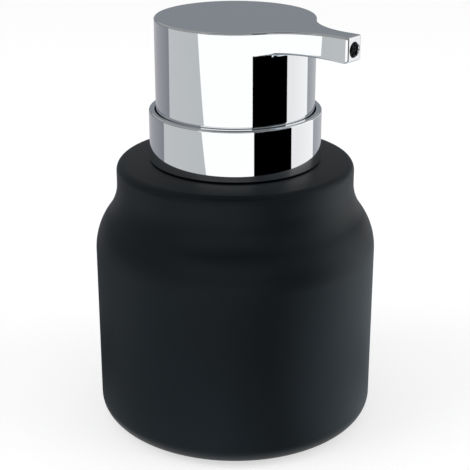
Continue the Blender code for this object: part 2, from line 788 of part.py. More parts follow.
def head_outline(inset):
    """Plan of the head, drawn in by the inset: circle, hollow blends and spout.

    Each blend is an arc tangent to the head's circle and to the spout's straight side,
    so its centre lies head radius plus blend radius from the axis, and over the straight
    side's start: that gives its radius. The points run from the back round the +Y side to
    the spout's end and back along the -Y side.
    """
    blend_x = SPOUT_REACH - SPOUT_STRAIGHT
    across = blend_x ** 2 + SPOUT_HALF_WIDTH ** 2 - HEAD_RADIUS ** 2
    blend = across / (2.0 * (HEAD_RADIUS - SPOUT_HALF_WIDTH))
    blend_y = SPOUT_HALF_WIDTH + blend
    meet = math.degrees(math.atan2(blend_y, blend_x))
    corner_x = SPOUT_REACH - SPOUT_CORNER
    corner_y = SPOUT_HALF_WIDTH - SPOUT_CORNER
    steps = round(WIDE_FACETS * (180 - meet) / 360)
    half = arc(0.0, 0.0, HEAD_RADIUS - inset, 180, meet, steps)
    half += arc(blend_x, blend_y, blend + inset, 180 + meet, 270, SPOUT_BLEND_STEPS)[1:]
    half += arc(corner_x, corner_y, SPOUT_CORNER - inset, 90, 0, SPOUT_CORNER_STEPS)
    mirrored = [(x, -y) for x, y in reversed(half[1:])]
    return half + mirrored


def spout_depth(x):
    """Depth of the spout under the head's top, growing evenly from its root to its tip."""
    along = (x - HEAD_RADIUS) / (SPOUT_REACH - HEAD_RADIUS)
    return SPOUT_ROOT_DEPTH + (SPOUT_TIP_DEPTH - SPOUT_ROOT_DEPTH) * min(max(along, 0.0), 1.0)


def head_rings():
    """Rings of the head from its top face down the outside and up the inside.

    Under the spout the ring turns in to the head's circle, at the same bearing from the
    axis, with a rounded lower edge and a fillet at the root. Round the back these rings
    fall together on the circle.
    """
    rings = []
    for angle in (90, 45, 0):
        inset = HEAD_EDGE_ROUND * (1.0 - math.cos(math.radians(angle)))
        drop = HEAD_EDGE_ROUND * (1.0 - math.sin(math.radians(angle)))
        rings.append([(x, y, head_top_z - drop) for x, y in head_outline(inset)])
    outline = head_outline(0.0)
    under = [head_top_z - spout_depth(x) for x, y in outline]
    rings.append([(x, y, z + SPOUT_LOWER_ROUND) for (x, y), z in zip(outline, under)])
    bearings = [(x / math.hypot(x, y), y / math.hypot(x, y)) for x, y in outline]
    reach = [max(math.hypot(x, y) - HEAD_RADIUS, 0.0) for x, y in outline]
    edge = [min(SPOUT_LOWER_ROUND, span) for span in reach]
    fillet = [min(SPOUT_ROOT_FILLET, span - lower) for span, lower in zip(reach, edge)]

    def at(radii, heights):
        return [(u * r, v * r, z) for (u, v), r, z in zip(bearings, radii, heights)]

    rings.append(at([HEAD_RADIUS + s - e for s, e in zip(reach, edge)], under))
    for angle in (0, 45, 90):
        rise = 1.0 - math.sin(math.radians(angle))
        fall = 1.0 - math.cos(math.radians(angle))
        radii = [HEAD_RADIUS + f * rise for f in fillet]
        rings.append(at(radii, [z - f * fall for z, f in zip(under, fillet)]))
    count = len(outline)
    levels = [
        (HEAD_RADIUS, skirt_z + EDGE_BREAK),
        (HEAD_RADIUS - EDGE_BREAK, skirt_z),
        (head_bore, skirt_z),
        (head_bore, ceiling_z),
    ]
    rings += [at([radius] * count, [z] * count) for radius, z in levels]
    return rings


def head_shell(part, cutters):
    """Chrome head with its spout, hollow below, bored through to the spout's end."""
    shell = loft("head_shell", head_rings(), CHROME, part)
    start = head_bore - CUT_OVERRUN
    end = SPOUT_REACH + CUT_OVERRUN
    mouth = SPOUT_REACH - SPOUT_BORE_FLARE
    flare = SPOUT_BORE + SPOUT_BORE_FLARE + CUT_OVERRUN
    profile = [
        (0.0, end),
        (flare, end),
        (SPOUT_BORE, mouth),
        (SPOUT_BORE, start),
        (0.0, start),
    ]
    bore = turned("spout_cutter", profile, SMALL_FACETS, None, cutters, closed=False)
    lay_along_x(hide_cutter(bore), spout_axis_z)
    return combine(shell, bore, "DIFFERENCE")


def actuator(part, cutters):
    """Moulded core: post with the stem's socket, ribbed plate and ring, and the duct boss."""
    plate_z = plate_top_z - CORE_PLATE_THICKNESS
    ring_z = plate_top_z - CORE_RING_HEIGHT
    profile = [
        (0.0, plate_top_z),
        (core_radius, plate_top_z),
        (core_radius, ring_z),
        (core_radius - CORE_RING_WALL, ring_z),
        (core_radius - CORE_RING_WALL, plate_z),
        (CORE_POST_RADIUS, plate_z),
        (CORE_POST_RADIUS, post_z + EDGE_BREAK),
        (CORE_POST_RADIUS - EDGE_BREAK, post_z),
        (0.0, post_z),
    ]
    core = turned("actuator", profile, MIDDLE_FACETS, BLACK_PLASTIC, part, closed=False)
    rib_start = CORE_POST_RADIUS - CORE_RING_WALL / 2.0
    rib_end = core_radius - CORE_RING_WALL / 2.0
    rib_top = plate_z + CORE_PLATE_THICKNESS / 2.0
    rib_foot = plate_z - CORE_RIB_HEIGHT
    size = (rib_end - rib_start, CORE_RIB_THICKNESS, rib_top - rib_foot)
    centre = ((rib_start + rib_end) / 2.0, 0.0, (rib_foot + rib_top) / 2.0)
    for number in range(CORE_RIB_COUNT):
        turn = 2.0 * math.pi * (number + CORE_RIB_TURN_SHARE) / CORE_RIB_COUNT
        combine(core, block("core_rib_%d" % number, size, centre, cutters, turn=turn), "UNION")
    boss_foot = plate_top_z - CORE_PLATE_THICKNESS / 2.0
    boss_back = -CORE_BOSS_WIDTH / 2.0
    boss_size = (CORE_BOSS_REACH - boss_back, CORE_BOSS_WIDTH, core_top_z - boss_foot)
    boss_centre = ((CORE_BOSS_REACH + boss_back) / 2.0, 0.0, (core_top_z + boss_foot) / 2.0)
    combine(core, block("core_boss", boss_size, boss_centre, cutters), "UNION")
    stem_cut = [
        (0.0, spout_axis_z),
        (CORE_CHANNEL, spout_axis_z),
        (CORE_CHANNEL, stem_socket_z),
        (stem_hole, stem_socket_z),
        (stem_hole, post_z - CUT_OVERRUN),
        (0.0, post_z - CUT_OVERRUN),
    ]
    spigot_room = NOZZLE_SPIGOT_RADIUS + SEAT_GAP
    spigot_start = CORE_BOSS_REACH - NOZZLE_SPIGOT_LENGTH
    duct_cut = [
        (0.0, CORE_BOSS_REACH + CUT_OVERRUN),
        (spigot_room, CORE_BOSS_REACH + CUT_OVERRUN),
        (spigot_room, spigot_start),
        (NOZZLE_CHANNEL, spigot_start),
        (NOZZLE_CHANNEL, 0.0),
        (0.0, 0.0),
    ]
    socket = turned("socket_cutter", stem_cut, SMALL_FACETS, None, cutters, closed=False)
    combine(core, hide_cutter(socket), "DIFFERENCE")
    duct = turned("duct_cutter", duct_cut, SMALL_FACETS, None, cutters, closed=False)
    lay_along_x(hide_cutter(duct), spout_axis_z)
    return combine(core, duct, "DIFFERENCE")


def spout_tube(part):
    """Tube from the core's duct to just inside the spout's end, with a wider mouth."""
    start = CORE_BOSS_REACH + SEAT_GAP - NOZZLE_SPIGOT_LENGTH
    shoulder = CORE_BOSS_REACH + SEAT_GAP
    end = SPOUT_REACH - NOZZLE_SET_BACK
    profile = [
        (NOZZLE_RADIUS, end),
        (NOZZLE_RADIUS, shoulder),
        (NOZZLE_SPIGOT_RADIUS, shoulder),
        (NOZZLE_SPIGOT_RADIUS, start),
        (NOZZLE_CHANNEL, start),
        (NOZZLE_CHANNEL, end - NOZZLE_MOUTH_LENGTH),
        (NOZZLE_BORE, end - NOZZLE_MOUTH_LENGTH),
        (NOZZLE_BORE, end),
    ]
    tube = turned("spout_tube", profile, SMALL_FACETS, BLACK_PLASTIC, part)
    return lay_along_x(tube, spout_axis_z)


def joints(part):
    """One empty on the axis of each joint, with the pieces that it carries."""
    core = ["pump_housing", "housing_gasket", "stem_guide", "stem_seal", "ball_cage", "dip_tube"]
    tree = [
        ("pump_lift", None, core + ["return_spring"]),
        ("closure_turn", "pump_lift", ["closure_cap", "collar"]),
        ("inlet_ball_lift", "pump_lift", ["inlet_ball"]),
        ("head_press", "pump_lift", ["stem", "valve_pin"]),
        ("piston_lag", "head_press", ["piston"]),
        ("head_swivel", "head_press", ["head_shell", "actuator", "spout_tube"]),
    ]
    for name, carrier, pieces in tree:
        empty = bpy.data.objects.new(name, None)
        part.objects.link(empty)
        if carrier:
            empty.parent = bpy.data.objects[carrier]
        for piece in pieces:
            bpy.data.objects[piece].parent = empty


def main():
    clear_scene()
    part = new_collection("liquid_soap_dispenser")
    cutters = new_collection("cutters")
    base_pad(part)
    bottle(part)
    neck_insert(part)
    soft_rings(part)
    pump_housing(part, cutters)
    inlet_valve(part, cutters)
    dip_tube(part, cutters)
    closure_cap(part, cutters)
    collar(part)
    stem_guide(part)
    stem(part)
    valve_pin(part)
    piston(part)
    return_spring(part)
    head_shell(part, cutters)
    actuator(part, cutters)
    spout_tube(part)
    joints(part)


main()
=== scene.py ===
"""Look of a liquid soap dispenser: glazed bottle, chrome press pump and studio stage.

Laid out as an add-on and run as a script. Every piece takes its place from the frame:
metres, +Z up along the pump's axis, +X towards the spout's end.
"""

import math

import bmesh
import bpy
import numpy as np
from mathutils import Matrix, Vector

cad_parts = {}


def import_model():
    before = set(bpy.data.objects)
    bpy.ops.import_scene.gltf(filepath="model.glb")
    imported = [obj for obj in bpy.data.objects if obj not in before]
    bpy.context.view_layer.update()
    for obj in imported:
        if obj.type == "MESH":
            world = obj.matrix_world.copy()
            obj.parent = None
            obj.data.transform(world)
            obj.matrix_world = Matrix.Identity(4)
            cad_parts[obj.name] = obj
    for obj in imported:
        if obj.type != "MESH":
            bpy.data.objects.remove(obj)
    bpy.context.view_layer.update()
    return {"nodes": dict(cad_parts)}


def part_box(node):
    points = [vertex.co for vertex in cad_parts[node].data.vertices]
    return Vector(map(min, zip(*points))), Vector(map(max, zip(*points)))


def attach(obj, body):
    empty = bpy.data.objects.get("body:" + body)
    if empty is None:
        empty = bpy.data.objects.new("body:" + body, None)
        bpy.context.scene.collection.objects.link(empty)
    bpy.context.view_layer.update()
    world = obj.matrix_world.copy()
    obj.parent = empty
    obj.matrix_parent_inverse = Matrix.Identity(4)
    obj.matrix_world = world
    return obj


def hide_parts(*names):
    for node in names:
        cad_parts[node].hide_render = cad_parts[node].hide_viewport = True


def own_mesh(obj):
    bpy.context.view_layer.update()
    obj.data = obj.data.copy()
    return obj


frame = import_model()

bl_info = {
    "name": "Liquid soap dispenser",
    "version": (1, 0, 0),
    "blender": (4, 5, 0),
    "location": "3D View > Sidebar > Dispenser",
    "description": "Builds a glazed soap dispenser with a chrome press pump, and its stage",
    "category": "Object",
}

MM = 0.001
SHARP_ANGLE = math.radians(35)
MERGE_DISTANCE = 2e-8

# Steps round a turned piece, by its size
WIDE_STEPS = 192
MIDDLE_STEPS = 128
SMALL_STEPS = 64


# ---------------------------------------------------------------- the frame


def low(node):
    """Lowest height of a solid of the frame."""
    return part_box(node)[0].z


def high(node):
    """Highest height of a solid of the frame."""
    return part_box(node)[1].z


def radius_of(node):
    """Outer radius of a solid that is turned about the pump's axis."""
    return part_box(node)[1].x


# ---------------------------------------------------------------- surfaces


def arc(centre, radius, start, end, steps):
    """Points on a circle in the (r, z) plane, the angle growing evenly from start to end."""
    angle = np.radians(np.linspace(start, end, steps + 1))
    return np.stack(
        [centre[0] + radius * np.cos(angle), centre[1] + radius * np.sin(angle)], axis=1
    )


def soften(corners, closed=True, steps=5, support=0.35):
    """A profile of (r, z, rounding) corners with each corner turned into a tangent arc.

    Half of the angle between the two sides gives how far from the corner the arc starts,
    and a further point on each side, a share of that rounding away, keeps the side flat.
    """
    corner = np.array(corners, float)
    count = len(corner)
    profile = []
    for number, (r, z, rounding) in enumerate(corner):
        inside = closed or 0 < number < count - 1
        if not rounding or not inside:
            profile.append([[r, z]])
            continue
        here = np.array([r, z])
        back = corner[number - 1, :2] - here
        ahead = corner[(number + 1) % count, :2] - here
        back /= np.linalg.norm(back)
        ahead /= np.linalg.norm(ahead)
        half = math.acos(np.clip(back @ ahead, -1, 1)) / 2
        run = rounding / math.tan(half)
        middle = (back + ahead) / np.linalg.norm(back + ahead)
        centre = here + middle * rounding / math.sin(half)
        start = here + back * run - centre
        stop = here + ahead * run - centre
        first = math.atan2(start[1], start[0])
        turn = math.atan2(stop[1], stop[0]) - first
        turn = (turn + math.pi) % (2 * math.pi) - math.pi
        angle = first + turn * np.linspace(0, 1, steps + 1)
        curve = centre + rounding * np.stack([np.cos(angle), np.sin(angle)], axis=1)
        extra = run + support * rounding
        profile.append([here + back * extra])
        profile.append(curve)
        profile.append([here + ahead * extra])
    return np.concatenate(profile)


def finished(obj):
    """Smooth faces, with an edge kept where two faces meet at more than the sharp angle."""
    obj.data.shade_smooth()
    obj.data.set_sharp_from_angle(angle=SHARP_ANGLE)
    return obj


def mesh_object(name, points, faces, material):
    """An object at the origin that holds the faces in its mesh, equal points merged."""
    mesh = bpy.data.meshes.new(name)
    mesh.from_pydata(points.reshape(-1, 3).tolist(), [], [list(face) for face in faces])
    shape = bmesh.new()
    shape.from_mesh(mesh)
    bmesh.ops.remove_doubles(shape, verts=shape.verts, dist=MERGE_DISTANCE)
    bmesh.ops.dissolve_degenerate(shape, edges=shape.edges, dist=MERGE_DISTANCE)
    shape.to_mesh(mesh)
    shape.free()
    mesh.materials.append(material)
    obj = bpy.data.objects.new(name, mesh)
    bpy.context.scene.collection.objects.link(obj)
    return finished(obj)


def grid_faces(rows, columns, close_rows, close_columns):
    """Quads between the neighbours of a grid, round to its first row or column if closed."""
    row = np.arange(rows if close_rows else rows - 1)[:, None]
    column = np.arange(columns if close_columns else columns - 1)[None]
    below = (row + 1) % rows
    beside = (column + 1) % columns
    ends = [row * columns + column, below * columns + column]
    ends += [below * columns + beside, row * columns + beside]
    return np.stack(np.broadcast_arrays(*ends), axis=-1).reshape(-1, 4)


def turned(name, profile, material, steps=MIDDLE_STEPS, closed=True, change=None):
    """A surface of the place along a profile and the angle about the pump's axis.

    Radius and height come from the profile, x is radius times the angle's cosine and y
    radius times its sine. The profile runs down its outer side. A closed one makes a ring,
    and an open one starts and ends on the axis. A change, if given, takes the radii,
    heights and angles as grids and gives new radii and heights.
    """
    angle = np.linspace(0, 2 * math.pi, steps, endpoint=False)[None]
    r, z = np.asarray(profile, float)[:, 0:1], np.asarray(profile, float)[:, 1:2]
    r, z, angle = np.broadcast_arrays(r, z, angle)
    if change:
        r, z = change(r, z, angle)
    points = np.stack([r * np.cos(angle), r * np.sin(angle), z], axis=-1)
    return mesh_object(name, points, grid_faces(*r.shape, closed, True), material)


def tube_along(name, path, side, radius, steps, material):
    """A round tube: at each point of the path, a circle in the plane of side and its normal.

    Tangent is the path's slope, the normal is tangent times side, and the circle's point
    is the path plus radius times side by the cosine and normal by the sine. The first and
    last circle shrink to their centre, which closes the ends.
    """
    tangent = np.gradient(path, axis=0)
    tangent /= np.linalg.norm(tangent, axis=1, keepdims=True)
    side = side - tangent * np.sum(side * tangent, axis=1, keepdims=True)
    side /= np.linalg.norm(side, axis=1, keepdims=True)
    normal = np.cross(tangent, side)
    angle = np.linspace(0, 2 * math.pi, steps, endpoint=False)[None, :, None]
    circle = side[:, None] * np.cos(angle) + normal[:, None] * np.sin(angle)
    points = path[:, None] + radius * circle
    ends = [np.repeat(path[index][None, None], steps, axis=1) for index in (0, -1)]
    points = np.concatenate([ends[0], points, ends[1]])
    faces = grid_faces(len(points), steps, False, True)[:, ::-1]
    return mesh_object(name, points, faces, material)


def cut(obj, cutter):
    """Takes the cutter's room out of the object, and removes the cutter."""
    boolean = obj.modifiers.new("cut", "BOOLEAN")
    boolean.operation = "DIFFERENCE"
    boolean.solver = "EXACT"
    boolean.object = cutter
    bpy.context.view_layer.update()
    graph = bpy.context.evaluated_depsgraph_get()
    mesh = bpy.data.meshes.new_from_object(obj.evaluated_get(graph))
    obj.modifiers.clear()
    obj.data = mesh
    bpy.data.objects.remove(cutter, do_unlink=True)
    return finished(obj)


def laid_along_x(obj, height):
    """Turns a piece made about the upright axis so that its top points along the spout."""
    points = np.empty(len(obj.data.vertices) * 3)
    obj.data.vertices.foreach_get("co", points)
    x, y, z = points.reshape(-1, 3).T
    obj.data.vertices.foreach_set("co", np.stack([z, y, height - x], axis=1).ravel())
    obj.data.update()
    return obj


def stand_for(obj, body, slot, *nodes):
    """The piece rides on its body and stands for its solids."""
    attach(obj, body)
    if nodes:
        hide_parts(*nodes)
    return obj


# ---------------------------------------------------------------- materials


def linear(code):
    """An sRGB hex colour as linear red, green, blue and alpha."""
    value = np.array([int(code[i : i + 2], 16) for i in (1, 3, 5)]) / 255
    value = np.where(value <= 0.04045, value / 12.92, ((value + 0.055) / 1.055) ** 2.4)
    return (*value.tolist(), 1.0)


def add(tree, kind, links=(), **settings):
    """A node with its own settings, its inputs' values and its links to other sockets."""
    made = tree.nodes.new(kind)
    for key, value in settings.items():
        if key in made.inputs:
            made.inputs[key].default_value = value
        else:
            setattr(made, key, value)
    for name, socket in dict(links).items():
        tree.links.new(made.inputs[name], socket)
    return made


def new_material(name):
    """An empty node material."""
    made = bpy.data.materials.new(name)
    made.use_nodes = True
    made.node_tree.nodes.clear()
    return made


def per_mm(size):
    """Scale of a pattern on Object coordinates whose cells are that many millimetres."""
    return 1 / (size * MM)


def surface(name, colour, roughness, grain, depth, tone=0.06, spread=0.08, **shader):
    """A Principled material with one grain that tints, roughens and lifts the surface.

    The grain is a noise on Object coordinates, its cells that many millimetres wide, and
    the depth of its bump is in millimetres. Tone is the share by which it darkens the
    colour and spread the share by which it changes the roughness.
    """
    made = new_material(name)
    tree = made.node_tree
    place = add(tree, "ShaderNodeTexCoord").outputs["Object"]
    noise = add(
        tree, "ShaderNodeTexNoise", {"Vector": place}, Scale=per_mm(grain), Detail=4.0
    ).outputs["Fac"]
    base = linear(colour)
    dark = (*[part * (1 - tone) for part in base[:3]], 1.0)
    tint = add(tree, "ShaderNodeMix", data_type="RGBA")
    tree.links.new(tint.inputs[0], noise)
    tint.inputs[6].default_value = dark
    tint.inputs[7].default_value = base
    rough = add(
        tree,
        "ShaderNodeMapRange",
        {"Value": noise},
        **{"To Min": roughness * (1 - spread), "To Max": roughness * (1 + spread)},
    ).outputs["Result"]
    links = {"Base Color": tint.outputs[2], "Roughness": rough}
    if depth:
        bump = add(tree, "ShaderNodeBump", {"Height": noise}, Strength=1.0, Distance=depth * MM)
        links["Normal"] = bump.outputs["Normal"]
    body = add(tree, "ShaderNodeBsdfPrincipled", links, **shader)
    add(tree, "ShaderNodeOutputMaterial", {"Surface": body.outputs["BSDF"]})
    return made


def satin_glazed_stoneware(look):
    """Stoneware dipped in satin black glaze: a deep black with a wide, soft sheen.

    The glaze is a little wavy over a few millimetres and has a fine tooth that spreads
    the sheen, so it never mirrors.
    """
    made = new_material("satin_glazed_stoneware")
    tree = made.node_tree
    place = add(tree, "ShaderNodeTexCoord").outputs["Object"]
    tooth = add(
        tree, "ShaderNodeTexNoise", {"Vector": place}, Scale=per_mm(0.5), Detail=3.0
    ).outputs["Fac"]
    wave = add(
        tree, "ShaderNodeTexNoise", {"Vector": place}, Scale=per_mm(9.0), Detail=2.0
    ).outputs["Fac"]
    base = linear(look.glaze_colour)
    shade = add(tree, "ShaderNodeMix", data_type="RGBA")
    tree.links.new(shade.inputs[0], wave)
    shade.inputs[6].default_value = (*[part * 0.88 for part in base[:3]], 1.0)
    shade.inputs[7].default_value = base
    rough = add(
        tree,
        "ShaderNodeMapRange",
        {"Value": tooth},
        **{"To Min": look.glaze_roughness * 0.94, "To Max": look.glaze_roughness * 1.06},
    ).outputs["Result"]
    fine = add(tree, "ShaderNodeBump", {"Height": tooth}, Strength=1.0, Distance=0.002 * MM)
    slow = add(
        tree,
        "ShaderNodeBump",
        {"Height": wave, "Normal": fine.outputs["Normal"]},
        Strength=1.0,
        Distance=0.02 * MM,
    )
    links = {
        "Base Color": shade.outputs[2],
        "Roughness": rough,
        "Normal": slow.outputs["Normal"],
    }
    body = add(
        tree,
        "ShaderNodeBsdfPrincipled",
        links,
        IOR=1.5,
        **{"Specular IOR Level": look.glaze_sheen, "Specular Tint": linear(look.glaze_tint)},
    )
    add(tree, "ShaderNodeOutputMaterial", {"Surface": body.outputs["BSDF"]})
    return made


def chrome_plate(look):
    """Bright chromium over a polished casting: a cool mirror with the faintest haze.

    The haze comes from polishing marks under the plating, a few tenths of a millimetre
    apart, which only change how wide a highlight is.
    """
    return surface(
        "chrome_plate", look.chrome_colour, 0.012, 0.4, 0.0, tone=0.01, spread=0.4, Metallic=1.0
    )


def black_polypropylene():
    """Moulded black polypropylene: dull, slightly waxy, with the mould's fine spark grain."""
    return surface("black_polypropylene", "#161617", 0.45, 0.35, 0.01, IOR=1.49)


def white_polypropylene():
    """Moulded white polypropylene: a warm white with a soft sheen and faint flow marks."""
    return surface("white_polypropylene", "#ECECE8", 0.38, 0.8, 0.006, tone=0.03, IOR=1.49)


def natural_polyethylene():
    """Unpigmented polyethylene: milky, and light creeps a little way through its wall."""
    return surface(
        "natural_polyethylene",
        "#DDE2E0",
        0.36,
        0.9,
        0.006,
        tone=0.03,
        IOR=1.51,
        **{"Subsurface Weight": 0.35, "Subsurface Scale": 1.2 * MM},
    )


def nitrile_rubber():
    """Pressed nitrile rubber: charcoal, dull and dusty, with no clear highlight."""
    return surface("nitrile_rubber", "#2B2B2C", 0.75, 0.25, 0.012, IOR=1.52)


def eva_foam():
    """Closed-cell foam sheet: black, dry and full of fine cells half a millimetre wide."""
    return surface("eva_foam", "#1B1B1B", 0.9, 0.5, 0.08, tone=0.25, IOR=1.48)


def stainless_wire():
    """Drawn stainless steel: a neutral metal with a soft, slightly streaky shine."""
    return surface(
        "stainless_wire", "#C3C1BD", 0.24, 0.3, 0.002, tone=0.08, spread=0.25, Metallic=1.0
    )


def finishes():
    """Every finish of the object by its slot, made once."""
    look = bpy.context.scene.dispenser_look
    made = {
        "bottle_ceramic": lambda: satin_glazed_stoneware(look),
        "chrome_plate": lambda: chrome_plate(look),
        "black_plastic": black_polypropylene,
        "white_plastic": white_polypropylene,
        "natural_plastic": natural_polyethylene,
        "seal_rubber": nitrile_rubber,
        "foot_foam": eva_foam,
        "spring_steel": stainless_wire,
    }
    return made


FINISHES = {}


def finish(slot):
    """The material of one slot, made when it is first asked for."""
    if slot not in FINISHES:
        FINISHES[slot] = finishes()[slot]()
    return FINISHES[slot]


# ---------------------------------------------------------------- bottle


def shoulder_arcs(shape, side_radius):
    """Centres and angle of the neck's hollow arc and the shoulder's round arc.

    The two arcs touch, so their centres lie the sum of their radii apart, and each is
    tangent to the upright side that it leaves.
    """
    neck = side_radius - shape.neck_setback
    neck_foot = high("bottle") - shape.neck_height
    across = side_radius - shape.shoulder_round - neck - shape.neck_hollow
    apart = shape.neck_hollow + shape.shoulder_round
    drop = math.sqrt(apart**2 - across**2)
    sweep = math.degrees(math.atan2(drop, -across))
    hollow = (neck + shape.neck_hollow, neck_foot)
    round_centre = (side_radius - shape.shoulder_round, neck_foot - drop)
    return hollow, round_centre, sweep


def bottle_profile(shape):
    """Line of the bottle from its inner floor up inside, over the mouth and down outside."""
    side = radius_of("bottle")
    foot = low("bottle")
    top = high("bottle")
    neck = side - shape.neck_setback
    hollow, belly, sweep = shoulder_arcs(shape, side)
    wall = shape.wall
    floor = foot + 5.5 * MM
    inner_foot = shape.foot_round - 0.3 * MM
    inner_side = side - wall
    inner_top = top - 5.7 * MM
    mouth = 15.5 * MM
    recess = 19.0 * MM
    recess_floor = top - 2.6 * MM
    land = radius_of("collar") + 0.4 * MM
    run = neck - shape.rim_round - land
    dome = (run**2 + shape.dome_rise**2) / (2 * shape.dome_rise)
    dome_sweep = math.degrees(math.asin(run / dome))
    rim = top - shape.dome_rise
    pad = radius_of("base_pad") + 0.3 * MM
    pad_roof = high("base_pad") + 0.3 * MM
    parts = [
        [(0.0, floor), (0.5 * inner_side, floor)],
        arc((inner_side - inner_foot, floor + inner_foot), inner_foot, -90, 0, 12),
        arc(belly, shape.shoulder_round - wall, 0, sweep, 20),
        arc(hollow, shape.neck_hollow + wall, 180 + sweep, 180, 20)[1:],
        arc((neck - wall - 1.5 * MM, inner_top - 1.5 * MM), 1.5 * MM, 0, 90, 6),
        soften(
            [
                (mouth + 2 * MM, inner_top, 0),
                (mouth, inner_top, 0.5 * MM),
                (mouth, recess_floor, 0.2 * MM),
                (recess, recess_floor, 0.2 * MM),
                (recess, top, 0.25 * MM),
                (recess + 1 * MM, top, 0),
            ],
            closed=False,
        ),
        arc((land, top - dome), dome, 90, 90 - dome_sweep, 16),
        arc((neck - shape.rim_round, rim - shape.rim_round), shape.rim_round, 78, 0, 16),
        arc(hollow, shape.neck_hollow, 180, 180 + sweep, 40),
        arc(belly, shape.shoulder_round, sweep, 0, 40)[1:],
        [(side, foot + shape.foot_round + 20 * MM)],
        arc((side - shape.foot_round, foot + shape.foot_round), shape.foot_round, 0, -90, 20),
        soften(
            [
                (side - shape.foot_round - 1 * MM, foot, 0),
                (pad, foot, 0.2 * MM),
                (pad, pad_roof, 0.2 * MM),
                (pad - 2 * MM, pad_roof, 0),
            ],
            closed=False,
        ),
        [(0.0, pad_roof)],
    ]
    return np.concatenate(parts)


class DISPENSER_OT_bottle(bpy.types.Operator):
    """Builds the glazed bottle and the soft pad let into its foot"""

    bl_idname = "dispenser.bottle"
    bl_label = "Bottle and foot pad"

    def execute(self, context):
        shape = context.scene.dispenser_shape
        vessel = turned(
            "glazed_bottle", bottle_profile(shape), finish("bottle_ceramic"), WIDE_STEPS, False
        )
        stand_for(vessel, "bottle", "bottle_ceramic", "bottle")
        radius = radius_of("base_pad")
        corners = [
            (0.0, high("base_pad"), 0),
            (radius, high("base_pad"), 0.15 * MM),
            (radius, low("base_pad"), 0.4 * MM),
            (0.0, low("base_pad"), 0),
        ]
        pad = turned("foot_pad", soften(corners, False), finish("foot_foam"), WIDE_STEPS, False)
        stand_for(pad, "bottle", "foot_foam", "base_pad")
        return {"FINISHED"}


# ---------------------------------------------------------------- mouth


def thread(root, crest, low_end, high_end, pitch):
    """A change for turned(): a rounded screw thread on the points that lie at the root.

    The ridge is the cosine of height over pitch less the turn, held to its upper part,
    and it fades in and out over half a pitch at both ends of its height.
    """

    def change(r, z, angle):
        phase = np.cos(2 * math.pi * (z / pitch) - angle)
        ridge = np.clip((phase + 0.25) / 1.1, 0, 1)
        fade = np.clip(np.minimum(z - low_end, high_end - z) / (0.5 * pitch), 0, 1)
        on = np.isclose(r, root, atol=0.02 * MM)
        return r + on * (crest - root) * ridge * fade, z

    return change


def upright(radius, start, end, spacing):
    """Points up or down a wall of one radius, evenly spaced for a thread."""
    count = max(int(round(abs(end - start) / spacing)), 1) + 1
    heights = np.linspace(start, end, count)
    return np.stack([np.full(count, radius), heights], axis=1)


class DISPENSER_OT_mouth(bpy.types.Operator):
    """Builds the threaded bush in the bottle's mouth and the seal under its flange"""

    bl_idname = "dispenser.mouth"
    bl_label = "Threaded bush and seal"

    def execute(self, context):
        shape = context.scene.dispenser_shape
        top, seat = high("neck_insert"), high("bottle")
        foot = low("neck_insert")
        flange = radius_of("neck_insert")
        flange_foot = seat - 1.2 * MM
        crest = 13.6 * MM
        root = crest - shape.thread_depth
        sleeve = 14.5 * MM
        barb = 15.2 * MM
        bore = 10.3 * MM
        step = 1.7 * MM
        barbs = []
        for number in range(3):
            height = flange_foot - (number + 1) * step
            barbs += [(sleeve, height, 0), (barb, height, 0.08 * MM)]
            barbs += [(sleeve, height - 0.7 * step, 0)]
        outer = [
            soften([(bore, top - 1 * MM, 0), (bore, top, 0.3 * MM), (root, top, 0.4 * MM)]
                   + [(root, top - 1 * MM, 0)], False),
            upright(root, top - 1.1 * MM, seat + 0.9 * MM, 0.12 * MM),
            soften(
                [(root, seat + 0.8 * MM, 0), (root, seat, 0.3 * MM), (flange, seat, 0.3 * MM)]
                + [(flange, flange_foot, 0.2 * MM), (sleeve, flange_foot, 0)]
                + barbs
                + [(sleeve, foot, 0.3 * MM), (13.0 * MM, foot, 0.2 * MM)]
                + [(13.0 * MM, flange_foot, 0), (bore, seat, 0), (bore, seat + 1 * MM, 0)],
                False,
            ),
        ]
        turns = thread(root, crest, seat + 1.0 * MM, top - 0.6 * MM, shape.thread_pitch)
        bush = turned("mouth_bush", np.concatenate(outer), finish("black_plastic"), change=turns)
        stand_for(bush, "bottle", "black_plastic", "neck_insert")
        seal = ring("bush_seal", "insert_seal", 15.8 * MM, "seal_rubber")
        stand_for(seal, "bottle", "seal_rubber", "insert_seal")
        return {"FINISHED"}


def ring(name, node, bore, slot, rounding=0.25 * MM, steps=MIDDLE_STEPS):
    """A flat ring with rounded edges in the room of a solid of the frame."""
    outer = radius_of(node)
    corners = [
        (outer, high(node), rounding),
        (outer, low(node), rounding),
        (bore, low(node), rounding),
        (bore, high(node), rounding),
    ]
    return turned(name, soften(corners), finish(slot), steps)


# ---------------------------------------------------------------- closure


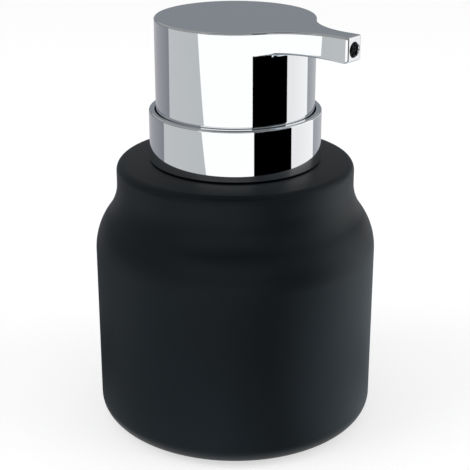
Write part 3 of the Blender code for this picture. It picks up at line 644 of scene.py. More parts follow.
class DISPENSER_OT_closure(bpy.types.Operator):
    """Builds the threaded cap, its ribs and the chrome collar that it carries"""

    bl_idname = "dispenser.closure"
    bl_label = "Closure and collar"

    def execute(self, context):
        shape = context.scene.dispenser_shape
        top, foot = high("closure_cap"), low("closure_cap")
        disc = radius_of("closure_cap")
        outer, hole = 16.3 * MM, 11.2 * MM
        crest = 13.75 * MM
        root = crest + shape.thread_depth
        disc_foot = foot + 1.1 * MM
        disc_top = disc_foot + 1.0 * MM
        roof = top - 1.4 * MM
        parts = [
            soften(
                [(hole, roof, 0.2 * MM), (hole, top, 0.3 * MM), (outer, top, 0.6 * MM)]
                + [(outer, disc_top, 0.3 * MM), (disc, disc_top, 0.2 * MM)]
                + [(disc, disc_foot, 0.2 * MM), (outer, disc_foot, 0.2 * MM)]
                + [(outer, foot, 0.3 * MM), (root, foot, 0.25 * MM), (root, foot + 1 * MM, 0)],
                False,
            ),
            upright(root, foot + 1.1 * MM, roof - 0.6 * MM, 0.12 * MM),
            soften([(root, roof - 0.5 * MM, 0), (root, roof, 0.3 * MM), (hole, roof, 0)], False)[:-1],
        ]
        turns = thread(root, crest, foot + 1.2 * MM, roof - 0.8 * MM, shape.thread_pitch)
        cap = turned("threaded_cap", np.concatenate(parts), finish("black_plastic"), change=turns)
        stand_for(cap, "closure", "black_plastic", "closure_cap")
        ribs = rib_plates("cap_ribs", outer - 0.4 * MM, 21.2 * MM, disc_top - 0.4 * MM, 5.6 * MM)
        stand_for(ribs, "closure", "black_plastic")
        collar = turned("chrome_collar", collar_profile(shape), finish("chrome_plate"), WIDE_STEPS)
        stand_for(collar, "closure", "chrome_plate", "collar")
        return {"FINISHED"}


def rib_plates(name, inner, outer, foot, height, count=8, thickness=1.1 * MM):
    """Upright plates that stand out from a round wall, at even angles about the axis.

    Each plate is a box whose upper outer corner is cut off at a slant. One plate's eight
    points are turned by every angle at once.
    """
    half = thickness / 2
    low_edge = foot + height * 0.35
    outline = [(inner, foot), (outer, foot), (outer, low_edge), (inner, foot + height)]
    one = np.array([(r, y, z) for y in (-half, half) for r, z in outline])
    angle = 2 * math.pi * (np.arange(count) + 0.3) / count
    turn = np.array([[np.cos(angle), -np.sin(angle)], [np.sin(angle), np.cos(angle)]])
    flat = np.einsum("ijk,pj->kpi", turn, one[:, :2])
    points = np.concatenate([flat, np.broadcast_to(one[:, 2:], (count, 8, 1))], axis=2)
    box = [(0, 1, 2, 3), (7, 6, 5, 4), (0, 4, 5, 1), (1, 5, 6, 2), (2, 6, 7, 3), (3, 7, 4, 0)]
    faces = (np.array(box)[None] + 8 * np.arange(count)[:, None, None]).reshape(-1, 4)
    obj = mesh_object(name, points, faces, finish("black_plastic"))
    bevel = obj.modifiers.new("edge", "BEVEL")
    bevel.width = 0.15 * MM
    bevel.segments = 2
    return obj


def collar_profile(shape):
    """Line of the collar: a flat rim with rounded edges, plain side and an inner foot lip."""
    outer, foot, top = radius_of("collar"), low("collar"), high("collar")
    bore = outer - 1.8 * MM
    lip = bore - 0.8 * MM
    return soften(
        [
            (outer, top, shape.collar_round),
            (outer, foot, 0.25 * MM),
            (lip, foot, 0.2 * MM),
            (lip, foot + 0.8 * MM, 0.2 * MM),
            (bore, foot + 0.8 * MM, 0.15 * MM),
            (bore, top, 0.3 * MM),
        ],
        steps=8,
    )


# ---------------------------------------------------------------- head


def head_outline(shape, inset):
    """Plan of the head drawn in by an inset, as points from the back round both sides.

    It is the head's circle, then an arc hollow to it that is tangent to both the circle
    and the spout's straight side, then a rounded corner. The arc's radius follows from
    where the straight side starts. Extra points beside each corner keep the sides flat.
    """
    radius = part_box("head_shell")[1].y
    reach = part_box("head_shell")[1].x
    half = shape.spout_width / 2
    start = reach - shape.spout_straight
    blend = (start**2 + half**2 - radius**2) / (2 * (radius - half))
    centre = (start, half + blend)
    meet = math.degrees(math.atan2(centre[1], centre[0]))
    corner = shape.spout_corner
    near = 0.12 * MM
    upper = [
        arc((0, 0), radius - inset, 180, meet, 150),
        arc(centre, blend + inset, 180 + meet, 270, 36)[1:],
        [(start + near, half - inset), (reach - corner - near, half - inset)],
        arc((reach - corner, half - corner), corner - inset, 90, 0, 8),
        [(reach - inset, share * (half - corner - near)) for share in (1, 0.75, 0.5, 0.25, 0)],
    ]
    upper = np.concatenate(upper)
    lower = upper[-2:0:-1] * [1, -1]
    return np.concatenate([upper, lower])


def head_rows(shape):
    """Rows of the head from its top face down the outside and up inside to its ceiling.

    Every point keeps its bearing from the axis below the top edge. The top edge is an arc
    that grows from the flat top to the side. Under the spout the row turns in, follows a
    depth that grows evenly from root to tip, and meets the round wall in a hollow arc.
    """
    low_corner, high_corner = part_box("head_shell")
    top, skirt = high_corner.z, low_corner.z
    radius, reach = high_corner.y, high_corner.x
    plain = head_outline(shape, 0)
    edge = shape.head_edge
    rows = []

    def flat(outline, height):
        rows.append(np.column_stack([outline, np.full(len(outline), height)]))

    flat(head_outline(shape, edge + 0.12 * MM), top)
    for angle in np.radians(np.linspace(90, 0, 9)):
        flat(
            head_outline(shape, edge * (1 - math.cos(angle))), top - edge * (1 - math.sin(angle))
        )
    flat(plain, top - edge - 0.12 * MM)
    span = np.hypot(plain[:, 0], plain[:, 1])
    bearing = plain / span[:, None]
    past = np.maximum(span - radius, 0)

    def depth(x):
        share = np.clip((x - radius) / (reach - radius), 0, 1)
        return shape.spout_root + (shape.spout_tip - shape.spout_root) * share

    def at(outward, drop):
        """A row at that distance outside the round wall, that far under the top."""
        place = bearing * (radius + outward)[:, None]
        rows.append(np.column_stack([place, top - drop]))

    under = np.minimum(0.8 * MM, past)
    fillet = np.minimum(shape.spout_fillet, past - under)
    at(past, depth(plain[:, 0]) - under - 0.1 * MM)
    for angle in np.radians(np.linspace(0, 90, 6)):
        outward = past - under * (1 - math.cos(angle))
        at(outward, depth(plain[:, 0]) - under * (1 - math.sin(angle)))
    for share in np.linspace(0, 1, 9):
        outward = (past - under) * (1 - share) + fillet * share
        x = bearing[:, 0] * (radius + outward)
        at(outward, depth(x))
    for angle in np.radians(np.linspace(0, 90, 8))[1:]:
        outward = fillet * (1 - math.sin(angle))
        drop = depth(bearing[:, 0] * radius) + fillet * (1 - math.cos(angle))
        at(outward, drop)
    wall = np.zeros(len(plain))
    at(wall, depth(bearing[:, 0] * radius) + shape.spout_fillet + 0.1 * MM)
    bore = radius - 1.8 * MM
    lip = soften(
        [
            (radius, skirt + 3 * MM, 0),
            (radius, skirt, 0.3 * MM),
            (bore, skirt, 0.3 * MM),
            (bore, skirt + 3 * MM, 0),
        ],
        False,
    )
    for r, z in lip:
        at(wall + r - radius, np.full(len(plain), top - z))
    ceiling = top - 1.2 * MM
    at(wall + bore - radius, np.full(len(plain), top - ceiling + 0.5 * MM))
    for angle in np.radians(np.linspace(0, 90, 5)):
        inward = 0.5 * MM * (1 - math.cos(angle))
        lift = 0.5 * MM * math.sin(angle)
        at(wall + bore - radius - inward, np.full(len(plain), top - ceiling + 0.5 * MM - lift))
    return np.array(rows)


class DISPENSER_OT_head(bpy.types.Operator):
    """Builds the chrome head with its bored spout, and dresses the core and outlet tube"""

    bl_idname = "dispenser.head"
    bl_label = "Press head and spout"

    def execute(self, context):
        shape = context.scene.dispenser_shape
        rows = head_rows(shape)
        faces = [tuple(face) for face in grid_faces(*rows.shape[:2], False, True)]
        count = rows.shape[1]
        first = tuple(range(count))
        last = tuple(range(rows.shape[0] * count - 1, (rows.shape[0] - 1) * count - 1, -1))
        head = mesh_object("press_head", rows, faces + [first, last], finish("chrome_plate"))
        height = (low("spout_tube") + high("spout_tube")) / 2
        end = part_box("head_shell")[1].x
        bore = shape.spout_bore / 2
        lip = 0.38 * MM
        line = [
            [(0.0, end + 1 * MM), (bore + lip, end + 1 * MM), (bore + lip, end + 0.1 * MM)],
            arc((bore + lip, end - lip), lip, 90, 180, 6),
            [(bore, end - lip - 0.1 * MM), (bore, 21.5 * MM), (0.0, 21.5 * MM)],
        ]
        line = np.concatenate(line)
        cutter = turned("spout_bore", line, finish("chrome_plate"), SMALL_STEPS, False)
        cut(head, laid_along_x(cutter, height))
        stand_for(head, "head", "chrome_plate", "head_shell")
        outlet = outlet_tube(height)
        stand_for(outlet, "head", "black_plastic", "spout_tube")
        dress("actuator", "black_plastic")
        return {"FINISHED"}


def outlet_tube(height):
    """The dark tube in the spout: a ring profile laid along the spout's axis."""
    start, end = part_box("spout_tube")[0].x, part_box("spout_tube")[1].x
    shoulder = start + 6.0 * MM
    line = [
        (2.1 * MM, end, 0.2 * MM),
        (2.1 * MM, shoulder, 0.1 * MM),
        (1.5 * MM, shoulder, 0),
        (1.5 * MM, start, 0.15 * MM),
        (0.9 * MM, start, 0.1 * MM),
        (0.9 * MM, end - 10 * MM, 0),
        (1.4 * MM, end - 10 * MM, 0),
        (1.4 * MM, end, 0.2 * MM),
    ]
    tube = turned("outlet_tube", soften(line), finish("black_plastic"), SMALL_STEPS)
    return laid_along_x(tube, height)


def dress(node, slot):
    """Gives a solid of the frame that stays in view its finish."""
    for place in frame["nodes"][node].material_slots:
        place.material = finish(slot)


# ---------------------------------------------------------------- pump


class DISPENSER_OT_pump(bpy.types.Operator):
    """Builds the pump: cylinder, guide, rod, piston, valves, spring and suction tube"""

    bl_idname = "dispenser.pump"
    bl_label = "Pump and suction tube"

    def execute(self, context):
        shape = context.scene.dispenser_shape
        cylinder()
        gasket = ring("cylinder_gasket", "housing_gasket", 9.8 * MM, "seal_rubber")
        stand_for(gasket, "pump_core", "seal_rubber", "housing_gasket")
        wiper = ring("rod_wiper", "stem_seal", 3.6 * MM, "seal_rubber", 0.35 * MM, SMALL_STEPS)
        stand_for(wiper, "pump_core", "seal_rubber", "stem_seal")
        rod_guide()
        suction_tube()
        rod_and_pin()
        lipped_piston()
        coil_spring(shape)
        valve_ball()
        dress("ball_cage", "white_plastic")
        return {"FINISHED"}


def cylinder():
    """Pump cylinder: flange, bore, shelf, cone seat for the ball and the tube's socket."""
    top, foot = high("pump_housing"), low("pump_housing")
    flange = radius_of("pump_housing")
    outer, bore = 9.5 * MM, 8.3 * MM
    shelf = low("ball_cage") - 0.3 * MM
    ball = (low("inlet_ball") + high("inlet_ball")) / 2
    room = 3.2 * MM
    cone_top = ball + room - (2.3 + 0.3) * MM * math.sqrt(2)
    throat = cone_top - (room - 1.4 * MM)
    socket_top = high("dip_tube") + 0.3 * MM
    socket = 3.5 * MM
    line = [
        (flange, top, 0.3 * MM),
        (flange, top - 1.2 * MM, 0.2 * MM),
        (outer, top - 1.2 * MM, 0.3 * MM),
        (outer, shelf - 1.0 * MM, 0.8 * MM),
        (4.5 * MM, shelf - 6.0 * MM, 0.6 * MM),
        (4.8 * MM, foot, 0.3 * MM),
        (socket, foot, 0.3 * MM),
        (socket, socket_top, 0.2 * MM),
        (1.4 * MM, socket_top, 0.1 * MM),
        (1.4 * MM, throat, 0),
        (room, cone_top, 0.2 * MM),
        (room, shelf, 0.2 * MM),
        (bore, shelf, 0.4 * MM),
        (bore, top, 0.3 * MM),
    ]
    body = turned("pump_cylinder", soften(line), finish("white_plastic"))
    height = top - 7.4 * MM
    hole = [(0.0, 12 * MM), (0.8 * MM, 12 * MM), (0.8 * MM, 6 * MM), (0.0, 6 * MM)]
    cutter = turned("vent", hole, finish("white_plastic"), 32, False)
    cut(body, laid_along_x(cutter, height))
    stand_for(body, "pump_core", "white_plastic", "pump_housing")


def rod_guide():
    """Cap on the cylinder with a skirt in its bore, a pocket and a hole for the rod."""
    top, foot = high("stem_guide"), low("stem_guide")
    seat = high("pump_housing") + 0.3 * MM
    outer, skirt = radius_of("stem_guide"), 8.0 * MM
    line = [
        (outer, top, 0.5 * MM),
        (outer, seat, 0.2 * MM),
        (skirt, seat, 0.2 * MM),
        (skirt, foot, 0.3 * MM),
        (6.6 * MM, foot, 0.2 * MM),
        (6.6 * MM, foot + 1.8 * MM, 0.2 * MM),
        (3.7 * MM, foot + 1.8 * MM, 0.1 * MM),
        (3.7 * MM, top, 0.3 * MM),
    ]
    guide = turned("rod_guide", soften(line), finish("white_plastic"))
    stand_for(guide, "pump_core", "white_plastic", "stem_guide")


def suction_tube():
    """Tube whose lower end is a plane slanted towards the spout's side.

    The foot's height is the lowest height plus the distance from the tube's +X side
    times the slant's slope.
    """
    top, foot = high("dip_tube"), low("dip_tube")
    outer, bore = 3.2 * MM, 2.3 * MM
    slope = math.tan(math.radians(30))
    line = [(outer, top, 0.15 * MM), (outer, foot, 0), (bore, foot, 0), (bore, top, 0.15 * MM)]
    profile = soften(line)

    def change(r, z, angle):
        lift = np.isclose(z, foot) * (outer - r * np.cos(angle)) * slope
        return r, z + lift

    tube = turned("suction_tube", profile, finish("natural_plastic"), SMALL_STEPS, change=change)
    stand_for(tube, "pump_core", "natural_plastic", "dip_tube")


def rod_and_pin():
    """Hollow rod with its stop shoulder, and the mushroom pin in the rod's lower end."""
    top, foot = high("stem"), low("stem")
    rod, bore = 3.4 * MM, 1.7 * MM
    shoulder = low("stem_guide") - 0.3 * MM
    line = [
        (rod, top, 0.3 * MM),
        (rod, shoulder, 0.15 * MM),
        (4.6 * MM, shoulder, 0.2 * MM),
        (4.6 * MM, shoulder - 1.5 * MM, 0.2 * MM),
        (rod, shoulder - 1.5 * MM, 0.15 * MM),
        (rod, foot, 0.3 * MM),
        (bore, foot, 0.2 * MM),
        (bore, top, 0.3 * MM),
    ]
    stem = turned("hollow_rod", soften(line), finish("white_plastic"), SMALL_STEPS)
    stand_for(stem, "plunger", "white_plastic", "stem")
    top, foot = high("valve_pin"), low("valve_pin")
    line = [
        (0.0, top, 0),
        (1.4 * MM, top, 0.4 * MM),
        (1.4 * MM, foot + 1.6 * MM, 0.3 * MM),
        (4.6 * MM, foot + 1.6 * MM, 0.3 * MM),
        (4.6 * MM, foot, 0.4 * MM),
        (0.0, foot, 0),
    ]
    pin = turned("outlet_pin", soften(line, False), finish("white_plastic"), SMALL_STEPS, False)
    stand_for(pin, "plunger", "white_plastic", "valve_pin")


def lipped_piston():
    """Sleeve on the rod with a web and two lips that flare towards the cylinder's wall."""
    low_end, high_end = low("piston"), high("piston")
    reach = radius_of("piston")
    middle = (low_end + high_end) / 2
    line = [
        (reach, high_end, 0.15 * MM),
        (reach - 0.5 * MM, middle + 0.7 * MM, 0.5 * MM),
        (reach - 0.5 * MM, middle - 0.7 * MM, 0.5 * MM),
        (reach, low_end, 0.15 * MM),
        (reach - 0.5 * MM, low_end, 0.15 * MM),
        (reach - 1.4 * MM, middle - 0.7 * MM, 0.4 * MM),
        (4.9 * MM, middle - 0.7 * MM, 0.4 * MM),
        (4.9 * MM, low_end + 1 * MM, 0.2 * MM),
        (3.7 * MM, low_end + 1 * MM, 0.2 * MM),
        (3.7 * MM, high_end - 1 * MM, 0.2 * MM),
        (4.9 * MM, high_end - 1 * MM, 0.2 * MM),
        (4.9 * MM, middle + 0.7 * MM, 0.4 * MM),
        (reach - 1.4 * MM, middle + 0.7 * MM, 0.4 * MM),
        (reach - 0.5 * MM, high_end, 0.15 * MM),
    ]
    piston = turned("lipped_piston", soften(line), finish("natural_plastic"), SMALL_STEPS)
    stand_for(piston, "piston", "natural_plastic", "piston")


def coil_spring(shape):
    """Helix of round wire with a close turn at each end.

    The angle grows evenly along the wire, and the height is drawn through the pitch of
    the end turns and the free turns between them.
    """
    wire = 0.45 * MM
    low_end, high_end = low("return_spring") + wire, high("return_spring") - wire
    turns = np.linspace(0, shape.spring_turns, shape.spring_turns * 40 + 1)
    last = shape.spring_turns
    pitch = 1.5 * MM
    height = np.interp(
        turns, [0, 1, last - 1, last], [low_end, low_end + pitch, high_end - pitch, high_end]
    )
    angle = 2 * math.pi * turns
    side = np.stack([np.cos(angle), np.sin(angle), 0 * angle], axis=1)
    path = side * 3.9 * MM + np.outer(height, [0, 0, 1])
    spring = tube_along("coil_spring", path, side, wire, 16, finish("spring_steel"))
    stand_for(spring, "pump_core", "spring_steel", "return_spring")
    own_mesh(spring)


def valve_ball():
    """Ball of the inlet valve: half a circle turned about the axis."""
    low_end, high_end = low("inlet_ball"), high("inlet_ball")
    radius = (high_end - low_end) / 2
    line = arc((0, (low_end + high_end) / 2), radius, 90, -90, 32)
    ball = turned("valve_ball", line, finish("spring_steel"), SMALL_STEPS, False)
    stand_for(ball, "inlet_ball", "spring_steel", "inlet_ball")


# ---------------------------------------------------------------- stage


def emitter(name, strength):
    """Light that a card gives off, in the colour kept along the card."""
    made = new_material(name)
    tree = made.node_tree
    tone = add(tree, "ShaderNodeAttribute", attribute_name="tone").outputs["Color"]
    glow = add(tree, "ShaderNodeEmission", {"Color": tone}, Strength=strength)
    add(tree, "ShaderNodeOutputMaterial", {"Surface": glow.outputs["Emission"]})
    return made


def card(name, points, colours, strength):
    """A bent card that shows in glossy surfaces and nowhere else.

    Its colour goes evenly from the first to the second one along its columns.
    """
    rows, columns = points.shape[:2]
    faces = grid_faces(rows, columns, False, False)
    mesh = bpy.data.meshes.new(name)
    mesh.from_pydata(points.reshape(-1, 3).tolist(), [], faces.tolist())
    share = np.linspace(0, 1, columns)[None, :, None]
    first, last = (np.array(linear(colour)) for colour in colours)
    tone = np.broadcast_to(first * (1 - share) + last * share, (rows, columns, 4))
    layer = mesh.color_attributes.new("tone", "FLOAT_COLOR", "POINT")
    layer.data.foreach_set("color", tone.ravel())
    mesh.materials.append(emitter(name, strength))
    obj = bpy.data.objects.new(name, mesh)
    bpy.context.scene.collection.objects.link(obj)
    obj.visible_camera = False
    obj.visible_diffuse = False
    obj.visible_transmission = False
    obj.visible_volume_scatter = False
    obj.visible_shadow = False
    return obj


def bearings(start, end):
    """Angles of a card's two long edges about the axis, from +X.

    The ends are degrees to the right of the camera's bearing. A pair of them makes that
    end slant from the first to the second long edge.
    """
    first = np.linspace(*np.broadcast_to(start, 2), 2)[:, None]
    last = np.linspace(*np.broadcast_to(end, 2), 2)[:, None]
    share = np.linspace(0, 1, 49)[None]
    turn = np.radians(first * (1 - share) + last * share)
    return bpy.context.scene.dispenser_stage.camera_bearing + turn


def floor_card(name, inner, outer, start, end, colours, strength=1.0):
    """A card that lies on the floor: a part of a ring about the pump's axis."""
    angle = bearings(start, end)
    distance = np.array([inner, outer])[:, None]
    across = [distance * np.cos(angle), distance * np.sin(angle), 0 * angle + 0.4 * MM]
    return card(name, np.stack(across, axis=-1), colours, strength)


def sky_card(name, low_end, high_end, start, end, colours, strength=1.0):
    """A card that stands round the set: a part of a dome, between two elevations."""
    angle = bearings(start, end)[:1]
    rise = np.radians(np.linspace(low_end, high_end, 13))[:, None]
    across = [np.cos(rise) * np.cos(angle), np.cos(rise) * np.sin(angle), np.sin(rise + 0 * angle)]
    return card(name, 3 * np.stack(across, axis=-1), colours, strength)


class DISPENSER_OT_stage(bpy.types.Operator):
    """Sets the floor, the reflection cards, the lights, the world and the camera"""

    bl_idname = "dispenser.stage"
    bl_label = "Floor, lights and camera"

    def execute(self, context):
        stage = context.scene.dispenser_stage
        floor(stage)
        floor_cards()
        sky_cards()
        lamps(stage)
        world(stage)
        camera(stage)
        return {"FINISHED"}


def seen_rays(tree):
    """One for the rays that the eye, the metal and the glass send out, nought for light."""
    rays = add(tree, "ShaderNodeLightPath").outputs
    links = {0: rays["Is Camera Ray"], 1: rays["Is Glossy Ray"]}
    gloss = add(tree, "ShaderNodeMath", links, operation="MAXIMUM")
    links = {0: gloss.outputs[0], 1: rays["Is Transmission Ray"]}
    return add(tree, "ShaderNodeMath", links, operation="MAXIMUM").outputs[0]


def pale_paper(glow):
    """Uncoated pale paper: dull and even, and partly seen as plain white.

    The part of white makes the backdrop as light as the world round it, and the rest
    keeps the object's shadow.
    """
    made = surface("pale_paper", "#FBFBFB", 0.95, 3.0, 0.01, tone=0.01, IOR=1.45)
    tree = made.node_tree
    output = tree.nodes["Material Output"].inputs["Surface"]
    white = add(tree, "ShaderNodeEmission", Color=(1, 1, 1, 1), Strength=1.0)
    share = add(tree, "ShaderNodeMath", {0: seen_rays(tree)}, operation="MULTIPLY")
    share.inputs[1].default_value = glow
    links = {0: share.outputs[0], 1: output.links[0].from_socket, 2: white.outputs["Emission"]}
    mixed = add(tree, "ShaderNodeMixShader", links)
    tree.links.new(output, mixed.outputs["Shader"])
    return made


def floor(stage):
    """Round sheet of pale paper on the table, wide enough to pass out of view."""
    made = pale_paper(stage.floor_glow)
    distance = np.array([0.0, 0.2, 0.6, 2.0, 6.0])[:, None]
    angle = np.linspace(0, 2 * math.pi, 96, endpoint=False)[None]
    points = np.stack([distance * np.cos(angle), distance * np.sin(angle), 0 * distance * angle], -1)
    sheet = mesh_object("paper_floor", points, grid_faces(5, 96, False, True), made)


NEAR_BEARINGS = (-150, -105.5, -80, -47, -12, 23.5, 50, 76.5, 99, 122, 150, 210)
NEAR_TONES = (
    "#4C5053", "#80868A", "#AFB8BE", "#A9B1B6", "#878E92", "#202223",
    "#C6CFD5", "#EBF6FD", "#DCE7EE", "#B6BFC5", "#BCC5CB", "#4C5053",
)
FOOT_TONES = (
    "#4C5053", "#4C5053", "#858C90", "#A5ADB2", "#BFC8CE", "#878E92",
    "#CDD6DD", "#CDD6DD", "#A2AAAF", "#AFB8BE", "#80868A", "#4C5053",
)


def floor_cards():
    """Cards on the floor, in bands by bearing: the far ones show in the chrome's sides.

    The two rings of near ones, whose tone changes evenly from one bearing to the next,
    give the glaze its soft light from below.
    """
    near, edge, flag, rim, far = 0.10, 0.22, 0.553, 0.64, 2.6
    foot = radius_of("bottle") + 2 * MM
    for name, inner, outer, tones in (
        ("foot_card", foot, near, FOOT_TONES),
        ("near_card", near, edge, NEAR_TONES),
    ):
        ends = zip(NEAR_BEARINGS, NEAR_BEARINGS[1:], tones, tones[1:])
        for start, end, first, last in ends:
            floor_card(name, inner, outer, start, end, (first, last), 1.25)
    white = ("#FFFFFF", "#FFFFFF")
    black = ("#000000", "#000000")
    floor_card("back_left", edge, rim, -150, -105.5, ("#AEADB3", "#8B8E94"))
    floor_card("left", edge, rim, -105.5, (-26.8, -52.7), ("#CFD1D3", "#CACDCE"))
    floor_card("front", edge, rim, (-26.8, -52.7), 23.5, white, 1.25)
    floor_card("flag", edge, flag, 23.5, 36, black)
    floor_card("front_right", flag, rim, 23.5, 36, white, 1.25)
    floor_card("long_flag", edge, rim, 36, 76.5, black)
    floor_card("right", edge, far, 76.5, 122, ("#F4F2F2", "#FFFFFF"), 1.09)
    floor_card("back_right", edge, rim, 122, 150, ("#A5A8AE", "#BABCC0"))
    floor_card("back", edge, rim, 150, 210, ("#BABCC0", "#B7B5BB"))
    floor_card("far_back_right", rim, far, 122, 150, white, 1.25)
    floor_card("far_left", rim, far, -105.5, -47, ("#BCBCBC", "#BCBCBC"))
    floor_card("far_back", rim, far, -210, -105.5, ("#9EA1A7", "#8B8E94"))
    floor_card("far_front", rim, far, -47, 23.5, ("#8A8A8A", "#8A8A8A"))
    floor_card("far_flag", rim, far, 23.5, 76.5, black)


def sky_cards():
    """Cards round the set above the floor, in rings by elevation and bands by bearing.

    The low bands go on from the floor's, as the edge of the head's top shows, and the
    high ones are dim, so the glaze stays deep.
    """
    white = ("#FFFFFF", "#FFFFFF")
    black = ("#000000", "#000000")
    sky_card("horizon_front", 0, 16, -50, 23.5, ("#414547", "#414547"))
    sky_card("horizon_flag", 0, 12, 23.5, 76.5, ("#000000", "#B0B8BE"))
    sky_card("horizon_right", 0, 12, 76.5, 120, white, 1.25)
    sky_card("horizon_left", 0, 12, -120, -50, ("#818181", "#818181"))
    sky_card("low_back", 0, 21, 120, 240, ("#898E94", "#898E94"))
    sky_card("low_left", 12, 21, -120, -50, ("#9DA0A6", "#9DA0A6"))
    sky_card("low_front", 16, 28, -50, 23.5, white, 1.25)
    sky_card("low_flag", 12, 19, 23.5, 76.5, black)
    sky_card("upper_flag", 19, 28, 23.5, 76.5, ("#C0C4C8", "#C0C4C8"))
    sky_card("low_right", 12, 28, 76.5, 120, white, 1.15)
    sky_card("middle_back", 21, 36, 120, 240, ("#ADADAD", "#ADADAD"))
    sky_card("middle_left", 21, 36, -120, -50, ("#A0A0A0", "#A0A0A0"))
    sky_card("middle_front", 28, 36, -50, 76.5, ("#ADADAD", "#ADADAD"))
    sky_card("middle_right", 28, 36, 76.5, 120, ("#BCBCBC", "#BCBCBC"))
    sky_card("high_front", 36, 90, -50, 76.5, ("#55595C", "#55595C"))
    sky_card("high_right", 36, 90, 76.5, 120, ("#BCBCBC", "#BCBCBC"))
    sky_card("high_back", 36, 90, 120, 240, ("#A2A2A2", "#A2A2A2"))
    sky_card("high_left", 36, 90, -120, -50, ("#A2A2A2", "#A2A2A2"))


def lamps(stage):
    """Two soft boxes, one high on the left and a weaker one on the right."""
    for name, bearing, height, power in (
        ("left_box", -70, 0.9, stage.left_power),
        ("right_box", 75, 0.7, stage.right_power),
    ):
        light = bpy.data.lights.new(name, "AREA")
        light.shape = "RECTANGLE"
        light.size = 0.8
        light.size_y = 0.8
        light.energy = power
        obj = bpy.data.objects.new(name, light)
        angle = stage.camera_bearing + math.radians(bearing)
        obj.location = (1.0 * math.cos(angle), 1.0 * math.sin(angle), height)
        aim = obj.location - type(obj.location)((0, 0, 0.07))
        obj.rotation_euler = aim.to_track_quat("Z", "Y").to_euler()
        obj.visible_glossy = False
        obj.visible_camera = False
        bpy.context.scene.collection.objects.link(obj)


def world(stage):
    """White surroundings for the eye, the metal and the glass, and a plain light level."""
    made = bpy.data.worlds.new("white_room")
    made.use_nodes = True
    tree = made.node_tree
    tree.nodes.clear()
    light = add(tree, "ShaderNodeBackground", Color=(1, 1, 1, 1), Strength=stage.world_level)
    white = add(tree, "ShaderNodeBackground", Color=(1, 1, 1, 1), Strength=1.0)
    links = {
        0: seen_rays(tree),
        1: light.outputs["Background"],
        2: white.outputs["Background"],
    }
    mixed = add(tree, "ShaderNodeMixShader", links)
    add(tree, "ShaderNodeOutputWorld", {"Surface": mixed.outputs["Shader"]})
    bpy.context.scene.world = made
    bpy.context.scene.view_settings.view_transform = "Standard"


def camera(stage):
    """Camera at the photograph's place: it faces the axis and looks down on it."""
    data = bpy.data.cameras.new("photo_camera")
    data.sensor_width = 36.0
    data.lens = stage.camera_lens
    data.shift_x = stage.camera_shift
    obj = bpy.data.objects.new("photo_camera", data)
    bearing = stage.camera_bearing
    distance = stage.camera_distance
    obj.location = (
        distance * math.cos(bearing),
        distance * math.sin(bearing),
        stage.camera_height,
    )
    obj.rotation_euler = (math.pi / 2 - stage.camera_pitch, 0, bearing + math.pi / 2)
    bpy.context.scene.collection.objects.link(obj)
    bpy.context.scene.camera = obj


# ---------------------------------------------------------------- add-on


def length(name, description, millimetres, **limits):
    """A length property given in millimetres and kept in metres."""
    return bpy.props.FloatProperty(
        name=name,
        description=description,
        default=millimetres * MM,
        min=0.0,
        precision=5,
        unit="LENGTH",
        **limits,
    )


class DispenserShape(bpy.types.PropertyGroup):
    """Sizes of the bottle, the head and the threads"""

    wall: length("Wall", "Thickness of the bottle's side", 4.0)
    neck_setback: length("Neck setback", "How far the neck stands inside the side", 7.3)
    neck_height: length("Neck height", "Upright part of the neck", 7.5)
    neck_hollow: length("Neck hollow", "Radius of the hollow arc under the neck", 16.9)
    shoulder_round: length("Shoulder round", "Radius of the shoulder's round arc", 19.9)
    foot_round: length("Foot round", "Radius at the foot", 6.0)
    rim_round: length("Rim round", "Radius at the neck's upper rim", 2.8)
    dome_rise: length("Dome rise", "How far the top rises from rim to collar", 0.6)
    collar_round: length("Collar round", "Radius at the collar's upper edge", 0.6)
    head_edge: length("Head edge", "Radius at the head's upper edge", 0.5)
    spout_width: length("Spout width", "Width of the spout at its end", 7.0)
    spout_straight: length("Spout straight", "Length of the spout's straight sides", 4.5)
    spout_corner: length("Spout corner", "Radius of the spout's upright edges", 0.9)
    spout_root: length("Spout root", "Depth of the spout where it leaves the head", 6.8)
    spout_tip: length("Spout tip", "Depth of the spout at its end", 7.5)
    spout_fillet: length("Spout fillet", "Hollow arc under the spout's root", 0.8)
    spout_bore: length("Spout bore", "Width of the hole in the spout's end", 4.4)
    thread_pitch: length("Thread pitch", "Height of one turn of the neck's thread", 3.0)
    thread_depth: length("Thread depth", "How far the thread stands out", 0.75)
    spring_turns: bpy.props.IntProperty(
        name="Spring turns", description="Turns of the return spring", default=8, min=3
    )


class DispenserLook(bpy.types.PropertyGroup):
    """Colours and finish of the glaze and the chrome"""

    glaze_colour: bpy.props.StringProperty(
        name="Glaze colour", description="sRGB colour of the glaze", default="#01070C"
    )
    glaze_tint: bpy.props.StringProperty(
        name="Glaze tint", description="sRGB tint of the glaze's sheen", default="#ECF7FF"
    )
    glaze_roughness: bpy.props.FloatProperty(
        name="Glaze roughness",
        description="How wide the glaze spreads its sheen",
        default=0.46,
        min=0.0,
        max=1.0,
        subtype="FACTOR",
    )
    glaze_sheen: bpy.props.FloatProperty(
        name="Glaze sheen",
        description="Strength of the glaze's sheen, 0.5 for plain glass",
        default=0.31,
        min=0.0,
        max=1.0,
        subtype="FACTOR",
    )
    chrome_colour: bpy.props.StringProperty(
        name="Chrome colour", description="sRGB colour of the plating", default="#E6E8EA"
    )


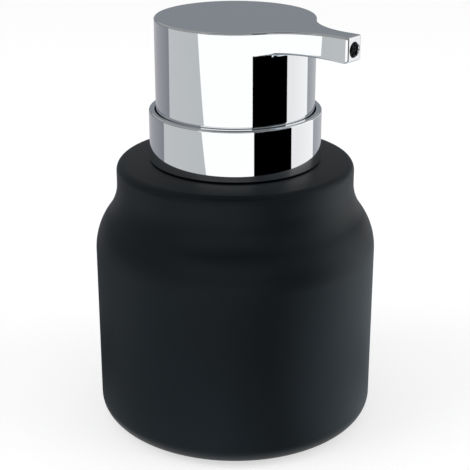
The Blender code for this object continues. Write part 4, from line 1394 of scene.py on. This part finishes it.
class DispenserStage(bpy.types.PropertyGroup):
    """Camera, lights and surroundings"""

    camera_bearing: bpy.props.FloatProperty(
        name="Camera bearing",
        description="Direction of the camera from the axis, from +X",
        default=math.radians(-50.0),
        subtype="ANGLE",
    )
    camera_pitch: bpy.props.FloatProperty(
        name="Camera pitch",
        description="How far the camera looks down",
        default=math.radians(21.376),
        subtype="ANGLE",
    )
    camera_distance: length("Camera distance", "Distance from the axis, level", 380.05)
    camera_height: length("Camera height", "Height over the floor", 209.17)
    camera_lens: bpy.props.FloatProperty(
        name="Lens", description="Focal length in millimetres", default=96.13, min=1.0
    )
    camera_shift: bpy.props.FloatProperty(
        name="Shift", description="Sideways shift of the picture", default=-0.0006
    )
    world_level: bpy.props.FloatProperty(
        name="Room light", description="Light from all round", default=0.75, min=0.0
    )
    floor_glow: bpy.props.FloatProperty(
        name="Floor white",
        description="Share of plain white in the floor as it is seen",
        default=0.6,
        min=0.0,
        max=1.0,
        subtype="FACTOR",
    )
    left_power: bpy.props.FloatProperty(
        name="Left box", description="Power of the left soft box", default=7.5, min=0.0
    )
    right_power: bpy.props.FloatProperty(
        name="Right box", description="Power of the right soft box", default=5.5, min=0.0
    )


class DISPENSER_PT_panel(bpy.types.Panel):
    """Buttons for each group of pieces and for the stage"""

    bl_idname = "DISPENSER_PT_panel"
    bl_label = "Soap dispenser"
    bl_space_type = "VIEW_3D"
    bl_region_type = "UI"
    bl_category = "Dispenser"

    def draw(self, context):
        for operator in OPERATORS:
            self.layout.operator(operator.bl_idname)
        for group in (context.scene.dispenser_shape, context.scene.dispenser_look):
            for name in group.__annotations__:
                self.layout.prop(group, name)


OPERATORS = (
    DISPENSER_OT_bottle,
    DISPENSER_OT_mouth,
    DISPENSER_OT_closure,
    DISPENSER_OT_head,
    DISPENSER_OT_pump,
    DISPENSER_OT_stage,
)
GROUPS = {
    "dispenser_shape": DispenserShape,
    "dispenser_look": DispenserLook,
    "dispenser_stage": DispenserStage,
}


def register():
    """Registers the classes and gives the scene their settings."""
    for made in (*GROUPS.values(), *OPERATORS, DISPENSER_PT_panel):
        bpy.utils.register_class(made)
    for name, group in GROUPS.items():
        setattr(bpy.types.Scene, name, bpy.props.PointerProperty(type=group))


def unregister():
    """Takes the settings and the classes away again."""
    for name in GROUPS:
        delattr(bpy.types.Scene, name)
    for made in (DISPENSER_PT_panel, *reversed(OPERATORS), *reversed(GROUPS.values())):
        bpy.utils.unregister_class(made)


def main():
    """Builds every group in order."""
    register()
    bpy.ops.dispenser.bottle()
    bpy.ops.dispenser.mouth()
    bpy.ops.dispenser.closure()
    bpy.ops.dispenser.head()
    bpy.ops.dispenser.pump()
    bpy.ops.dispenser.stage()


if __name__ == "__main__":
    main()
